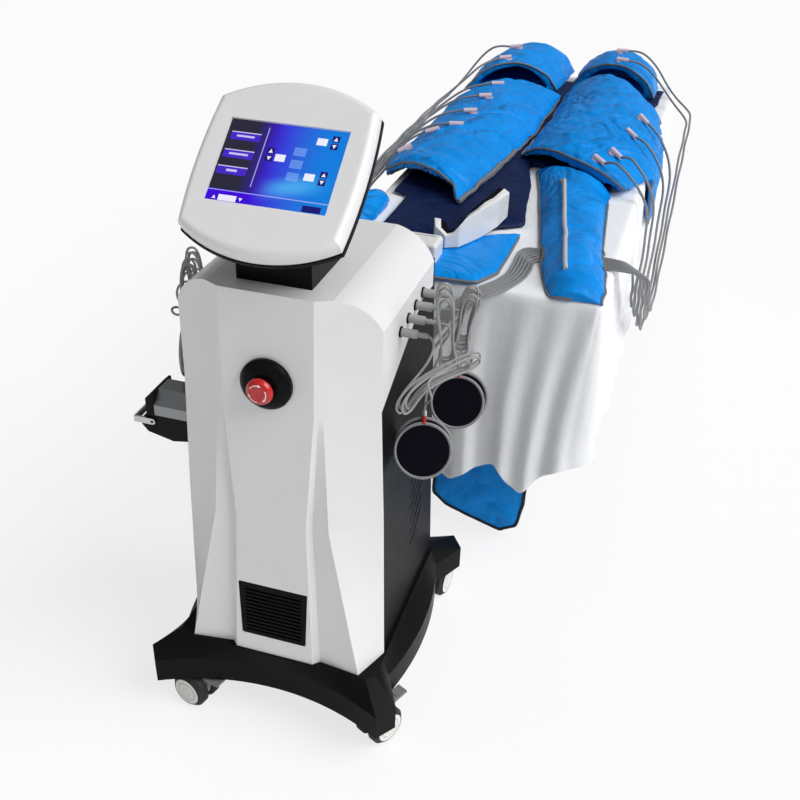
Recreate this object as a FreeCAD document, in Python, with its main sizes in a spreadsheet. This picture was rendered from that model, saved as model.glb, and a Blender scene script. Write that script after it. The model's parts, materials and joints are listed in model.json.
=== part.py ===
"""Pressotherapy set: a wheeled control console, and an inflatable suit laid out on its couch.

Frame: millimetres, +Z up, +X to the operator's right, +Y from the console's front to its back.
The origin is on the floor under the middle of the console's base.
"""
import FreeCAD, Part
import math
import os
import re

import Sketcher

V = FreeCAD.Vector
X_AXIS = V(1, 0, 0)
Y_AXIS = V(0, 1, 0)
Z_AXIS = V(0, 0, 1)

# Driving sizes in millimetres and degrees, by sub-assembly

BASE_SIZES = {
    "base_front_x": 232,
    "base_front_y": 291,
    "base_side_x": 259,
    "base_side_y": 252,
    "base_neck_x": 221,
    "base_neck_y": 176,
    "base_waist_x": 245,
    "base_front_mid_y": 234,
    "base_floor_gap": 84,
    "base_wall_height": 55,
    "base_bevel_height": 35,
    "base_ledge": 4,
    "base_top_corner": 16,
    "caster_x": 200,
    "caster_y": 226,
    "caster_recess_radius": 36,
    "caster_recess_height": 27,
    "caster_stem_radius": 6,
    "caster_stem_length": 18,
    "caster_crown_radius": 32,
    "caster_crown_height": 16,
    "caster_trail": 24,
    "wheel_radius": 40,
    "wheel_width": 23,
    "wheel_edge": 6,
    "wheel_axle_radius": 5,
    "hub_radius": 32,
    "hub_dome": 4,
    "caster_web_width": 14,
    "caster_web_half_depth": 15,
    "brake_width": 24,
    "brake_length": 34,
    "brake_thickness": 5,
    "brake_reach": 34,
    "brake_pin_radius": 3,
    "brake_pin_drop": 10,
    "brake_gap_reach": 8.5,
}

SHELL_SIZES = {
    "shell_wall": 4,
    "panel_foot_y": 231,
    "panel_top_y": 206,
    "blade_mid_height": 322,
    "blade_top_height": 560,
    "shoulder_height": 714,
    "hood_top_height": 776,
    "panel_foot_x": 80,
    "panel_mid_x": 68,
    "panel_top_x": 84,
    "recess_foot_width": 12,
    "recess_mid_width": 9,
    "recess_depth": 12,
    "blade_foot_x": 174,
    "blade_mid_x": 111,
    "blade_top_x": 98,
    "blade_foot_set": 2,
    "blade_mid_set": 3,
    "wing_foot_x": 203,
    "wing_mid_x": 195,
    "wing_top_x": 186,
    "wing_rear_y": 155,
    "hood_flat_x": 112,
    "hood_bend_x": 158,
    "hood_bend_drop": 22,
    "hood_rear_y": 152,
    "hood_break_y": 85,
    "hood_break_height": 668,
    "hood_rear_height": 663,
    "cover_foot_x": 199,
    "cover_top_x": 176,
    "cover_front_y": 150,
    "cover_rear_y": 196,
    "cover_top_height": 700,
    "cover_wall": 3,
    "louvre_length": 92,
    "louvre_gap": 6,
    "louvre_pitch": 30,
    "louvre_angle": 32,
    "louvre_height": 120,
    "louvre_y": 40,
    "grille_top_x": 70,
    "grille_foot_x": 66,
    "grille_height": 127,
    "grille_foot": 42,
    "grille_thickness": 7,
    "grille_border": 9,
    "grille_slot": 4.5,
    "grille_pitch": 9,
    "grille_corner": 6,
    "seat_clearance": 0.3,
}

CONTROL_SIZES = {
    "estop_height": 612,
    "estop_plate_radius": 47,
    "estop_plate_rim": 7,
    "estop_dome_radius": 27,
    "estop_dome_height": 19,
    "estop_bore_radius": 13,
    "estop_stem_inside": 34,
    "estop_nose_radius": 8,
    "estop_nose_length": 11,
    "estop_cap_radius": 24,
    "estop_cap_height": 17,
    "estop_cap_lip": 5,
    "estop_gap": 6,
    "estop_block_width": 44,
    "estop_block_depth": 44,
    "estop_travel": 4,
    "running_clearance": 0.05,
    "neck_half_width": 67,
    "neck_front_y": 168,
    "neck_depth": 148,
    "neck_wall": 9,
    "neck_lip_height": 44,
    "neck_plate": 6,
    "tilt_pin_y": 95,
    "tilt_pin_height": 125,
    "tilt_pin_radius": 7,
    "tilt_pin_head": 4,
    "tilt_pin_head_radius": 11,
    "neck_ear_radius": 18,
    "screen_tilt": 50.9,
    "display_width": 203,
    "display_height": 152,
    "head_corner_x": 135,
    "head_corner_v": 119,
    "head_side_x": 142,
    "head_end_v": 160,
    "bezel_depth": 30,
    "bezel_edge": 13,
    "back_depth": 14,
    "back_rim": 2,
    "back_rim_depth": 7,
    "back_taper": 24,
    "display_border": 6,
    "panel_glass": 12,
    "screen_wall": 4,
    "lug_half_width": 44,
    "head_to_pin": 76,
    "head_rise": 8,
}

INNER_SIZES = {
    "pump_length": 170,
    "pump_width": 110,
    "pump_height": 70,
    "pump_motor_radius": 38,
    "pump_motor_length": 90,
    "pump_y": 20,
    "supply_length": 180,
    "supply_width": 98,
    "supply_height": 46,
    "supply_y": 130,
    "board_width": 200,
    "board_height": 150,
    "board_thickness": 2,
    "board_standoff": 12,
    "board_standoff_radius": 4,
    "board_chip": 34,
    "board_chip_height": 5,
    "board_foot": 420,
    "manifold_width": 252,
    "manifold_height": 38,
    "manifold_depth": 34,
    "manifold_foot": 330,
    "valve_radius": 8,
    "valve_height": 30,
    "valve_pitch": 21,
    "nipple_radius": 3.4,
    "nipple_length": 22,
    "fan_size": 120,
    "fan_depth": 25,
    "fan_foot": 62,
    "fan_bore_radius": 56,
    "fan_hub_radius": 20,
    "fan_blade_gap": 2,
    "fan_blade_thickness": 2.5,
    "fan_blade_angle": 38,
    "fan_shaft_radius": 3,
    "fan_spider": 6,
    "fan_slot": 6,
    "fan_slot_pitch": 12,
    "inlet_width": 48,
    "inlet_height": 62,
    "inlet_depth": 30,
    "inlet_flange": 6,
    "inlet_lip": 3,
    "inlet_x": 120,
    "inlet_foot": 74,
    "socket_width": 25,
    "socket_height": 17,
    "socket_rise": 12,
    "socket_chamfer": 4,
    "socket_depth": 18,
    "socket_pin_width": 2,
    "socket_pin_height": 4,
    "socket_pin_pitch": 7,
    "rocker_width": 20,
    "rocker_height": 14,
    "rocker_rise": 45,
    "rocker_proud": 4,
    "rocker_dip": 2,
    "rocker_sunk": 3,
    "rocker_room": 2,
    "rocker_pin_radius": 2,
    "rocker_pin_length": 2,
}

LEAD_SIZES = {
    "jack_first_y": 58,
    "jack_pitch": 45,
    "jack_height": 668,
    "jack_rise": 5,
    "jack_radius": 7,
    "jack_flange_radius": 10,
    "jack_flange": 3,
    "jack_nut": 5,
    "jack_body": 20,
    "jack_bore": 3,
    "jack_room": 2,
    "plug_radius": 8,
    "plug_length": 28,
    "plug_pin_length": 14,
    "relief_radius": 5,
    "relief_length": 20,
    "relief_groove": 1.2,
    "lead_diameter": 4.5,
    "hank_step": 6.5,
    "hank_waist": 8,
    "pad_radius": 45,
    "pad_thickness": 6,
    "pad_gap": 3,
    "snap_radius": 6,
    "snap_length": 20,
    "connector_y": 128,
    "connector_depth": 74,
    "connector_foot": 388,
    "connector_reach": 104,
    "connector_block_height": 38,
    "connector_keel": 14,
    "connector_hood_height": 46,
    "connector_end": 17,
    "connector_chamfer": 12,
    "lever_thickness": 4,
    "lever_height": 13,
    "lever_pin_radius": 3,
    "lever_gap": 1.5,
}

COUCH_SIZES = {
    "couch_x": 160,
    "couch_near_y": 458,
    "couch_width": 646,
    "couch_length": 1888,
    "couch_top_height": 700,
    "mattress_thickness": 62,
    "mattress_edge": 18,
    "rail_size": 40,
    "rail_inset_x": 66,
    "rail_inset_y": 56,
    "leg_inset_y": 470,
    "foot_radius": 27,
    "foot_height": 16,
    "sheet_thickness": 3,
    "sheet_fold": 15,
    "sheet_gather": 4,
    "sheet_flare": 18,
    "sheet_side_hem": 336,
    "sheet_low": 150,
    "flap_thickness": 12,
    "layer_gap": 0.3,
}

SUIT_SIZES = {
    "back_thickness": 22,
    "front_thickness": 22,
    "left_crown": 62,
    "right_crown": 84,
    "front_hang": 26,
    "right_hang": 20,
    "right_drop": 150,
    "boot_height": 98,
    "boot_wall": 18,
    "sleeve_height": 48,
    "belt_thickness": 18,
    "tunnel_height": 9,
    "zip_width": 12,
    "zip_tape_height": 49,
    "zip_slider_width": 10,
    "zip_slider_length": 20,
    "zip_slider_height": 5,
    "zip_tab_length": 26,
    "zip_tab_thickness": 2,
    "coupler_base_radius": 13,
    "coupler_base_height": 5,
    "coupler_radius": 7,
    "coupler_length": 40,
    "coupler_neck": 6,
    "hose_diameter": 7,
    "goggle_shell_wall": 16,
    "goggle_pad_wall": 16,
    "goggle_height": 74,
    "box_width": 96,
    "box_length": 66,
    "box_x": 52,
    "box_y": 534,
    "box_height": 44,
    "box_edge": 9,
    "box_slot": 6,
}

SIZE_GROUPS = (BASE_SIZES, SHELL_SIZES, CONTROL_SIZES, INNER_SIZES, LEAD_SIZES, COUCH_SIZES, SUIT_SIZES)

doc = FreeCAD.newDocument("pressotherapy_set")
sheet = doc.addObject("Spreadsheet::Sheet", "Sizes")
names = set()
row = 0
for group in SIZE_GROUPS:
    for name, size in group.items():
        row += 1
        sheet.set(f"A{row}", name)
        sheet.set(f"B{row}", str(size))
        sheet.setAlias(f"B{row}", name)
        names.add(name)
doc.recompute()


def ref(text):
    """Expression text with each size named in the sheet."""
    return re.sub(r"[a-z_][a-z_0-9]*",
                  lambda m: "Sizes." + m.group(0) if m.group(0) in names else m.group(0), text)


def val(text):
    """Number that an expression of sheet sizes gives."""
    return float(sheet.evalExpression(text))


# Modelling helpers

pieces = []


def keep(piece, label):
    """Name a finished sub-part and list it for writing."""
    piece.Label = label
    pieces.append(piece)
    return piece


def new_body(label):
    """Empty body, listed as a sub-part."""
    return keep(doc.addObject("PartDesign::Body", label), label)


def sketch_on(body, role, height="0"):
    """Sketch on one of the body's own planes, lifted off it by a height."""
    plane = next(item for item in body.Origin.OriginFeatures if item.Role == role)
    sketch = body.newObject("Sketcher::SketchObject", body.Name + "_sketch")
    sketch.AttachmentSupport = [(plane, "")]
    sketch.MapMode = "FlatFace"
    if height != "0":
        sketch.setExpression("AttachmentOffset.Base.z", ref(height))
    return sketch


def flat(point):
    """Sketch point of a pair of expressions."""
    return V(val(point[0]), val(point[1]), 0)


def lock(sketch, geometry, end, point):
    """Tie one point of a sketch to its two expressions."""
    for kind, text in zip(("DistanceX", "DistanceY"), point):
        index = sketch.addConstraint(Sketcher.Constraint(kind, -1, 1, geometry, end, val(text)))
        sketch.setExpression(f"Constraints[{index}]", ref(text))


def left_hand_arc(begin, via, end):
    """Arc through three points, drawn anticlockwise whichever way they are given."""
    anticlockwise = (via - begin).cross(end - via).z > 0
    return Part.Arc(begin, via, end) if anticlockwise else Part.Arc(end, via, begin)


def outline(sketch, start, steps):
    """Closed outline of lines, one point each, and arcs, a point on the way and an end point each."""
    first = sketch.GeometryCount
    begins = [start] + [step[-1] for step in steps[:-1]]
    for begin, step in zip(begins, steps):
        if len(step) == 1:
            sketch.addGeometry(Part.LineSegment(flat(begin), flat(step[0])), False)
        else:
            sketch.addGeometry(left_hand_arc(flat(begin), flat(step[0]), flat(step[1])), False)
    ends = []
    for index, begin in enumerate(begins):
        edge = sketch.Geometry[first + index]
        forward = (edge.StartPoint - flat(begin)).Length < (edge.EndPoint - flat(begin)).Length
        ends.append((1, 2) if forward else (2, 1))
    for index, step in enumerate(steps):
        after = (index + 1) % len(steps)
        sketch.addConstraint(
            Sketcher.Constraint("Coincident", first + index, ends[index][1], first + after, ends[after][0]))
        lock(sketch, first + index, ends[index][1], step[-1])
    for index, step in enumerate(steps):
        if len(step) == 2:
            via = sketch.addGeometry(Part.Point(flat(step[0])), True)
            lock(sketch, via, 1, step[0])
            sketch.addConstraint(Sketcher.Constraint("PointOnObject", via, 1, first + index))
    return sketch


def rectangle(sketch, half_width, low, high):
    """Rectangle about the sketch's upright axis."""
    left = f"-({half_width})"
    return outline(sketch, (left, low),
                   [((half_width, low),), ((half_width, high),), ((left, high),), ((left, low),)])


def circle(sketch, centre, radius):
    """Circle with a bound centre and radius."""
    index = sketch.addGeometry(Part.Circle(flat(centre), Z_AXIS, val(radius)), False)
    lock(sketch, index, 3, centre)
    bound = sketch.addConstraint(Sketcher.Constraint("Radius", index, val(radius)))
    sketch.setExpression(f"Constraints[{bound}]", ref(radius))
    return sketch


def pad(body, sketch, length, symmetric=False, backward=False):
    """Pad of a sketch by a bound length."""
    feature = body.newObject("PartDesign::Pad", body.Name + "_pad")
    feature.Profile = sketch
    feature.setExpression("Length", ref(length))
    feature.SideType = "Symmetric" if symmetric else "One side"
    feature.Reversed = backward
    doc.recompute()
    return feature


def pocket(body, sketch, length, symmetric=False, backward=False):
    """Pocket of a sketch by a bound length, which has to remove some of the body."""
    before = body.Shape.Volume
    feature = body.newObject("PartDesign::Pocket", body.Name + "_pocket")
    feature.Profile = sketch
    feature.setExpression("Length", ref(length))
    feature.SideType = "Symmetric" if symmetric else "One side"
    feature.Reversed = backward
    doc.recompute()
    if body.Shape.Volume >= before:
        raise RuntimeError(body.Label + ": a pocket removes nothing")
    return feature


def revolve(body, sketch, axis="V_Axis"):
    """Full turn of a sketch about one of its own axes."""
    feature = body.newObject("PartDesign::Revolution", body.Name + "_turned")
    feature.Profile = sketch
    feature.ReferenceAxis = (sketch, [axis])
    feature.Angle = 360
    doc.recompute()
    return feature


def loft(body, first, last):
    """Ruled loft between two sketches of the body."""
    feature = body.newObject("PartDesign::AdditiveLoft", body.Name + "_loft")
    feature.Profile = first
    feature.Sections = [last]
    feature.Ruled = True
    doc.recompute()
    return feature


def round_edges(body, base, edges, radius):
    """Fillet of chosen edges of the body's last feature."""
    feature = body.newObject("PartDesign::Fillet", body.Name + "_round")
    feature.Base = (base, edges)
    feature.setExpression("Radius", ref(radius))
    doc.recompute()
    return feature


def place(piece, x, y, z, axis=Z_AXIS, angle=0.0):
    """Turn a piece about an axis and bind its place to expressions."""
    piece.Placement = FreeCAD.Placement(V(0, 0, 0), FreeCAD.Rotation(axis, angle))
    for letter, text in zip("xyz", (x, y, z)):
        piece.setExpression("Placement.Base." + letter, ref(text))
    doc.recompute()
    return piece


def block(name, size, corner):
    """Box with bound sizes and a bound low corner."""
    box = doc.addObject("Part::Box", name)
    for prop, text in zip(("Length", "Width", "Height"), size):
        box.setExpression(prop, ref(text))
    return place(box, *corner)


def rod(name, radius, length, base, axis=Z_AXIS):
    """Cylinder with bound sizes, from a bound base point along a world axis."""
    cylinder = doc.addObject("Part::Cylinder", name)
    cylinder.setExpression("Radius", ref(radius))
    cylinder.setExpression("Height", ref(length))
    turn = FreeCAD.Rotation(Z_AXIS, axis)
    return place(cylinder, *base, turn.Axis, math.degrees(turn.Angle))


def fuse(name, parts):
    """One object of several that meet."""
    joined = doc.addObject("Part::MultiFuse", name)
    joined.Shapes = parts
    doc.recompute()
    return joined


def cut(name, base, tool):
    """One object less another."""
    less = doc.addObject("Part::Cut", name)
    less.Base = base
    less.Tool = tool
    doc.recompute()
    return less


def formed(label, shape):
    """Sub-part whose form is a loft, a pipe or a set of separate solids."""
    feature = doc.addObject("Part::Feature", label)
    feature.Shape = shape
    feature.Placement = FreeCAD.Placement()
    return keep(feature, label)


def polygon(points):
    """Closed wire of straight edges."""
    return Part.makePolygon(list(points) + [points[0]])


def prism(points, direction):
    """Solid of a closed outline moved along a direction."""
    return Part.Face(polygon(points)).extrude(direction)


def carve(shape, tools):
    """Shape less some tools, none of which may miss it."""
    for tool in tools:
        if not shape.common(tool).Solids:
            raise RuntimeError("a cut removes nothing")
    return shape.cut(tools)


def join(shapes):
    """One solid of shapes that meet."""
    first, *others = shapes
    return first.multiFuse(others).removeSplitter()


# Heights and directions that several sub-parts share

BASE_TOP = "(base_floor_gap + base_wall_height + base_bevel_height)"
HOOD_TOP = f"({BASE_TOP} + hood_top_height)"
base_top = val(BASE_TOP)
hood_top = val(HOOD_TOP)
LEAN_SHARE = val("(panel_foot_y - panel_top_y) / hood_top_height")
lean_angle = math.degrees(math.atan(LEAN_SHARE))
overrun = val("base_ledge")


def panel_y(height):
    """Depth of the leaning front panel at a height over the base."""
    return -val("panel_foot_y") + LEAN_SHARE * height


# Base and casters

def lobed(front, rear, bowed):
    """Start and steps of a four-lobed outline; between lobes it is bowed, or straight."""
    fx, fy, sx, sy, nx, ny, wx, my = front
    bx, by, tx, ty, kx, ky, _, ry = rear
    minus = "-({})".format

    def side(via, end):
        return (via, end) if bowed else (end,)

    steps = [
        side(("0", minus(my)), (fx, minus(fy))),
        ((sx, minus(sy)),),
        ((nx, minus(ny)),),
        side((wx, "0"), (kx, ky)),
        ((tx, ty),),
        ((bx, by),),
        side(("0", ry), (minus(bx), by)),
        ((minus(tx), ty),),
        ((minus(kx), ky),),
        side((minus(wx), "0"), (minus(nx), minus(ny))),
        ((minus(sx), minus(sy)),),
        ((minus(fx), minus(fy)),),
    ]
    return (minus(fx), minus(fy)), steps


def base_chassis():
    """Low moulded base with a lobe over each caster and a bevel up to the housing."""
    body = new_body("base_chassis")
    lobe = ("base_front_x", "base_front_y", "base_side_x", "base_side_y",
            "base_neck_x", "base_neck_y", "base_waist_x", "base_front_mid_y")
    top_x = "(wing_foot_x + base_ledge)"
    ends = []
    for top_y in ("(panel_foot_y + base_ledge)", "(cover_rear_y + base_ledge)"):
        ends.append((f"{top_x} - base_top_corner", top_y, top_x, f"{top_y} - base_top_corner",
                     top_x, "base_neck_y", top_x, top_y))
    crease = "base_floor_gap + base_wall_height"
    pad(body, outline(sketch_on(body, "XY_Plane", "base_floor_gap"), *lobed(lobe, lobe, True)), "base_wall_height")
    lower = outline(sketch_on(body, "XY_Plane", crease), *lobed(lobe, lobe, True))
    upper = outline(sketch_on(body, "XY_Plane", BASE_TOP), *lobed(*ends, False))
    loft(body, lower, upper)
    corners = [(x, y) for x in ("caster_x", "-caster_x") for y in ("caster_y", "-caster_y")]
    recess = sketch_on(body, "XY_Plane", "base_floor_gap")
    bores = sketch_on(body, "XY_Plane", "base_floor_gap")
    for corner in corners:
        circle(recess, corner, "caster_recess_radius")
        circle(bores, corner, "caster_stem_radius + running_clearance")
    pocket(body, recess, "caster_recess_height", backward=True)
    pocket(body, bores, "caster_recess_height + caster_stem_length", backward=True)


CROWN_TOP = "(base_floor_gap + caster_recess_height - seat_clearance)"
AXLE_BACK = "(-caster_trail)"
BRAKE_PIN_Y = "(-caster_trail - brake_reach)"
BRAKE_PIN_Z = "(base_floor_gap - brake_pin_drop)"


def caster_fork(label, x, y, angle, braked):
    """Swivel stem, crown and the web that the twin wheels straddle, with an arm where there is a brake."""
    body = new_body(label)
    crown_low = f"{CROWN_TOP} - caster_crown_height"
    stem_top = f"{CROWN_TOP} + caster_stem_length - seat_clearance"
    profile = outline(sketch_on(body, "XZ_Plane"), ("0", crown_low), [
        (("caster_crown_radius", crown_low),),
        (("caster_crown_radius", CROWN_TOP),),
        (("caster_stem_radius", CROWN_TOP),),
        (("caster_stem_radius", stem_top),),
        (("0", stem_top),),
        (("0", crown_low),),
    ])
    revolve(body, profile)
    low = "wheel_radius - caster_web_half_depth"
    rear = f"{AXLE_BACK} - caster_web_half_depth"
    shoulder = f"{BRAKE_PIN_Z} + 2 * brake_pin_radius"
    web = sketch_on(body, "YZ_Plane")
    arm_end = f"{BRAKE_PIN_Y} - 2 * brake_pin_radius"
    arm = [
        ((arm_end, shoulder),),
        ((arm_end, f"{BRAKE_PIN_Z} - 2 * brake_pin_radius"),),
        ((rear, f"{BRAKE_PIN_Z} - 2 * brake_pin_radius"),),
    ]
    neck = [(("-caster_crown_radius", crown_low),), (("-caster_crown_radius", shoulder),)]
    outline(web, ("caster_web_half_depth", crown_low), neck + (arm if braked else [((rear, shoulder),)]) + [
        ((rear, low),),
        ((f"{AXLE_BACK} + caster_web_half_depth", low),),
        (("caster_web_half_depth", crown_low),),
    ])
    circle(web, (AXLE_BACK, "wheel_radius"), "wheel_axle_radius + running_clearance")
    if braked:
        circle(web, (BRAKE_PIN_Y, BRAKE_PIN_Z), "brake_pin_radius + running_clearance")
    pad(body, web, "caster_web_width", symmetric=True)
    place(body, x, y, "0", Z_AXIS, angle)


def trailing(x, y, angle, back):
    """Place of a point that lies some way behind a turned swivel axis."""
    across = round(math.sin(math.radians(angle)), 6)
    along = round(math.cos(math.radians(angle)), 6)
    return f"{x} - ({across}) * ({back})", f"{y} + ({along}) * ({back})"


def caster_wheel(label, x, y, angle):
    """Twin wheel on one axle: two round-edged tyres with domed hub caps."""
    body = new_body(label)
    near = "(caster_web_width / 2 + seat_clearance)"
    far = f"({near} + wheel_width)"
    half = [
        (f"{far} + hub_dome", "0"),
        (f"{far} + hub_dome / 2", "hub_radius"),
        (far, "hub_radius"),
        (far, "wheel_radius - wheel_edge"),
        (f"{far} - wheel_edge", "wheel_radius"),
        (f"{near} + wheel_edge / 2", "wheel_radius"),
        (near, "wheel_radius - wheel_edge"),
        (near, "wheel_axle_radius"),
    ]
    points = half + [(f"-({px})", py) for px, py in reversed(half)]
    steps = [(point,) for point in points[1:]] + [(points[0],)]
    revolve(body, outline(sketch_on(body, "XZ_Plane"), points[0], steps), "H_Axis")
    place(body, *trailing(x, y, angle, AXLE_BACK), "wheel_radius", Z_AXIS, angle)


def brake_pedal(label, x, y, angle):
    """Foot pedal on its own pin, with two cheeks that hold the fork's arm between them."""
    body = new_body(label)
    tip = "-brake_length"
    start = "-3 * brake_pin_radius"
    cheek = sketch_on(body, "YZ_Plane")
    outline(cheek, ("0", "1.5 * brake_pin_radius"), [
        ((start, "1.5 * brake_pin_radius"),),
        ((start, "-brake_thickness / 2"),),
        (("0", "-1.5 * brake_pin_radius"),),
        (("1.5 * brake_pin_radius", "0"), ("0", "1.5 * brake_pin_radius")),
    ])
    pad(body, cheek, "brake_width", symmetric=True)
    tread = sketch_on(body, "YZ_Plane")
    outline(tread, (start, "brake_thickness / 2"), [
        ((tip, "brake_thickness"),),
        ((tip, "0"),),
        ((start, "-brake_thickness / 2"),),
        ((start, "brake_thickness / 2"),),
    ])
    pad(body, tread, "brake_width", symmetric=True)
    gap = sketch_on(body, "YZ_Plane")
    clear = "brake_width"
    behind = "-brake_gap_reach"
    outline(gap, (behind, clear), [
        ((clear, clear),),
        ((clear, f"-{clear}"),),
        ((behind, f"-{clear}"),),
        ((behind, clear),),
    ])
    pocket(body, gap, "caster_web_width + 2 * seat_clearance", symmetric=True)
    pin = circle(sketch_on(body, "YZ_Plane"), ("0", "0"), "brake_pin_radius")
    pad(body, pin, "caster_web_width + 4 * seat_clearance", symmetric=True)
    place(body, *trailing(x, y, angle, BRAKE_PIN_Y), BRAKE_PIN_Z, Z_AXIS, angle)


CASTER_TURNS = {
    "front_left": ("-caster_x", "-caster_y", 75.0),
    "front_right": ("caster_x", "-caster_y", 153.0),
    "rear_left": ("-caster_x", "caster_y", 160.0),
    "rear_right": ("caster_x", "caster_y", 172.0),
}


def casters():
    """Four swivel casters; the front two have a brake."""
    for corner, (x, y, angle) in CASTER_TURNS.items():
        braked = corner.startswith("front")
        caster_fork("caster_fork_" + corner, x, y, angle, braked)
        caster_wheel("caster_wheel_" + corner, x, y, angle)
        if braked:
            brake_pedal("brake_pedal_" + corner, x, y, angle)


# Housing

def shell_section(height, panel_x, recess_width, recess_depth, blade_x, blade_set, wing_x):
    """Right half of the front moulding at a height: panel edge, recess, blade edge and wing edge."""
    front = panel_y(height)
    return [
        V(panel_x, front, 0),
        V(panel_x + recess_width, front + recess_depth, 0),
        V(blade_x, front + blade_set, 0),
        V(wing_x, -val("wing_rear_y"), 0),
    ]


def on_chamfer(height, wing_x, blade_x):
    """Right half where the recess has run out: one flat chamfer from the panel to the wing."""
    panel = V(val("panel_top_x"), panel_y(height), 0)
    wing = V(wing_x, -val("wing_rear_y"), 0)
    share = (blade_x - panel.x) / (wing.x - panel.x)
    return [panel, panel + (wing - panel) * (share / 2), panel + (wing - panel) * share, wing]


def mirrored(half, rear, height):
    """Closed wire of a right half and its mirror image, square at the rear."""
    right = half + [V(half[-1].x, rear, 0)]
    left = [V(-point.x, point.y, 0) for point in reversed(right)]
    return polygon([point + V(0, 0, base_top + height) for point in left + right])


def inset(half, wall):
    """Right half of the cavity behind a moulding's half section."""
    recess, wing = half[1], half[3]
    return [
        V(half[0].x - wall, recess.y + wall, 0),
        V(recess.x, recess.y + wall, 0),
        V(recess.x + (wing.x - recess.x) / 2, recess.y + wall + (wing.y - recess.y) / 2, 0),
        V(wing.x - wall, wing.y, 0),
    ]


def hood_profile(side_x, flat_x, bend_x, top, shoulder, foot, bend_drop):
    """Outline of the hood seen from behind: flat top, rounded shoulders, upright sides."""
    right = [V(side_x, 0, foot), V(side_x, 0, shoulder), V(bend_x, 0, top - bend_drop), V(flat_x, 0, top)]
    left = [V(-point.x, 0, point.z) for point in right]
    edges = [
        Part.LineSegment(right[0], right[1]).toShape(),
        Part.Arc(right[1], right[2], right[3]).toShape(),
        Part.LineSegment(right[3], left[3]).toShape(),
        Part.Arc(left[3], left[2], left[1]).toShape(),
        Part.LineSegment(left[1], left[0]).toShape(),
        Part.LineSegment(left[0], right[0]).toShape(),
    ]
    return Part.Face(Part.Wire(edges))


def panel_placement(height):
    """Place on the leaning front panel, with its local Y axis square to the panel."""
    turn = FreeCAD.Rotation(X_AXIS, -lean_angle)
    return FreeCAD.Placement(V(0, panel_y(height), base_top + height), turn)


def grille_outline(grow):
    """Corners of the front grille in its own plane, grown by a clearance."""
    foot = val("grille_foot_x") + grow
    head = val("grille_top_x") + grow
    low = -grow
    high = val("grille_height") + grow
    return [V(-foot, 0, low), V(foot, 0, low), V(head, 0, high), V(-head, 0, high)]


def jack_places():
    """Heights and depths of the four electrode jacks on one side."""
    first = -val("jack_first_y")
    pitch = val("jack_pitch")
    rise = val("jack_rise")
    return [(first + index * pitch, base_top + val("jack_height") + index * rise) for index in range(4)]


def front_shell():
    """White moulding: leaning front panel, recessed facets, blade wings and the hood over the top."""
    wall = val("shell_wall")
    mid = val("blade_mid_height")
    apex = val("blade_top_height")
    top = val("hood_top_height")
    wing_top = val("wing_top_x")
    blade_top = val("blade_top_x")
    sections = [
        (0, shell_section(0, val("panel_foot_x"), val("recess_foot_width"), val("recess_depth"),
                          val("blade_foot_x"), val("blade_foot_set"), val("wing_foot_x"))),
        (mid, shell_section(mid, val("panel_mid_x"), val("recess_mid_width"), val("recess_depth"),
                            val("blade_mid_x"), val("blade_mid_set"), val("wing_mid_x"))),
        (apex, on_chamfer(apex, wing_top, blade_top)),
    ]
    crown = on_chamfer(top, wing_top, blade_top)
    rear = -val("wing_rear_y")
    hood_rear = val("hood_rear_y")
    lower = Part.makeLoft([mirrored(half, rear + overrun, at) for at, half in sections], True, True)
    hollow = [mirrored(inset(half, wall), rear + 2 * overrun, at) for at, half in sections]
    upper = Part.makeLoft([mirrored(sections[2][1], hood_rear, apex), mirrored(crown, hood_rear, top)], True, True)
    room = Part.makeLoft([mirrored(inset(sections[2][1], wall), hood_rear - wall, apex),
                          mirrored(inset(crown, wall), hood_rear - wall, top - wall)], True, True)
    foot = base_top + apex
    shoulder = base_top + val("shoulder_height")
    ceiling = base_top + top
    drop = val("hood_bend_drop")
    flat_x = val("hood_flat_x")
    bend_x = val("hood_bend_x")
    span = V(0, 2 * (hood_rear - panel_y(0)), 0)
    start = V(0, panel_y(0) - overrun, 0)
    rounding = hood_profile(wing_top, flat_x, bend_x, ceiling, shoulder, foot, drop).translated(start).extrude(span)
    inside = hood_profile(wing_top - wall, flat_x - wall / 2, bend_x - wall, ceiling - wall, shoulder - wall / 2,
                          foot, drop).translated(start).extrude(span)
    hood = upper.common(rounding)
    room = room.common(inside)
    skirt = [(rear, foot), (val("hood_break_y"), base_top + val("hood_break_height")),
             (hood_rear + overrun, base_top + val("hood_rear_height")), (hood_rear + overrun, foot - overrun),
             (rear, foot - overrun)]
    across = 2 * (wing_top + overrun)
    skirt_cut = prism([V(-across / 2, y, z) for y, z in skirt], V(across, 0, 0))
    cavity = Part.makeLoft(hollow, True, True)
    shape = join([lower, hood.cut(skirt_cut)])
    shape = carve(shape, [cavity, room])
    shape = carve(shape, [prism([V(-across, rear, base_top - overrun), V(across, rear, base_top - overrun),
                                 V(across, rear + 3 * overrun, base_top - overrun),
                                 V(-across, rear + 3 * overrun, base_top - overrun)],
                                V(0, 0, apex + overrun))])
    window = prism(grille_outline(val("seat_clearance")), V(0, 4 * val("recess_depth"), 0))
    window.translate(V(0, -2 * val("recess_depth"), 0))
    window.Placement = panel_placement(val("grille_foot")).multiply(window.Placement)
    stop = Part.makeCylinder(val("estop_bore_radius") + wall, 4 * val("recess_depth"),
                             V(0, -2 * val("recess_depth"), 0), Y_AXIS)
    stop.Placement = panel_placement(val("estop_height")).multiply(stop.Placement)
    jacks = [Part.makeCylinder(val("jack_radius"), across, V(-across / 2, y, z), X_AXIS) for y, z in jack_places()]
    shape = carve(shape, [window, stop] + jacks)
    formed("front_shell", shape)


def cover_x(height):
    """Half width of the rear cover at a height over the base."""
    foot = val("cover_foot_x")
    return foot + (val("cover_top_x") - foot) * height / val("cover_top_height")


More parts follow.
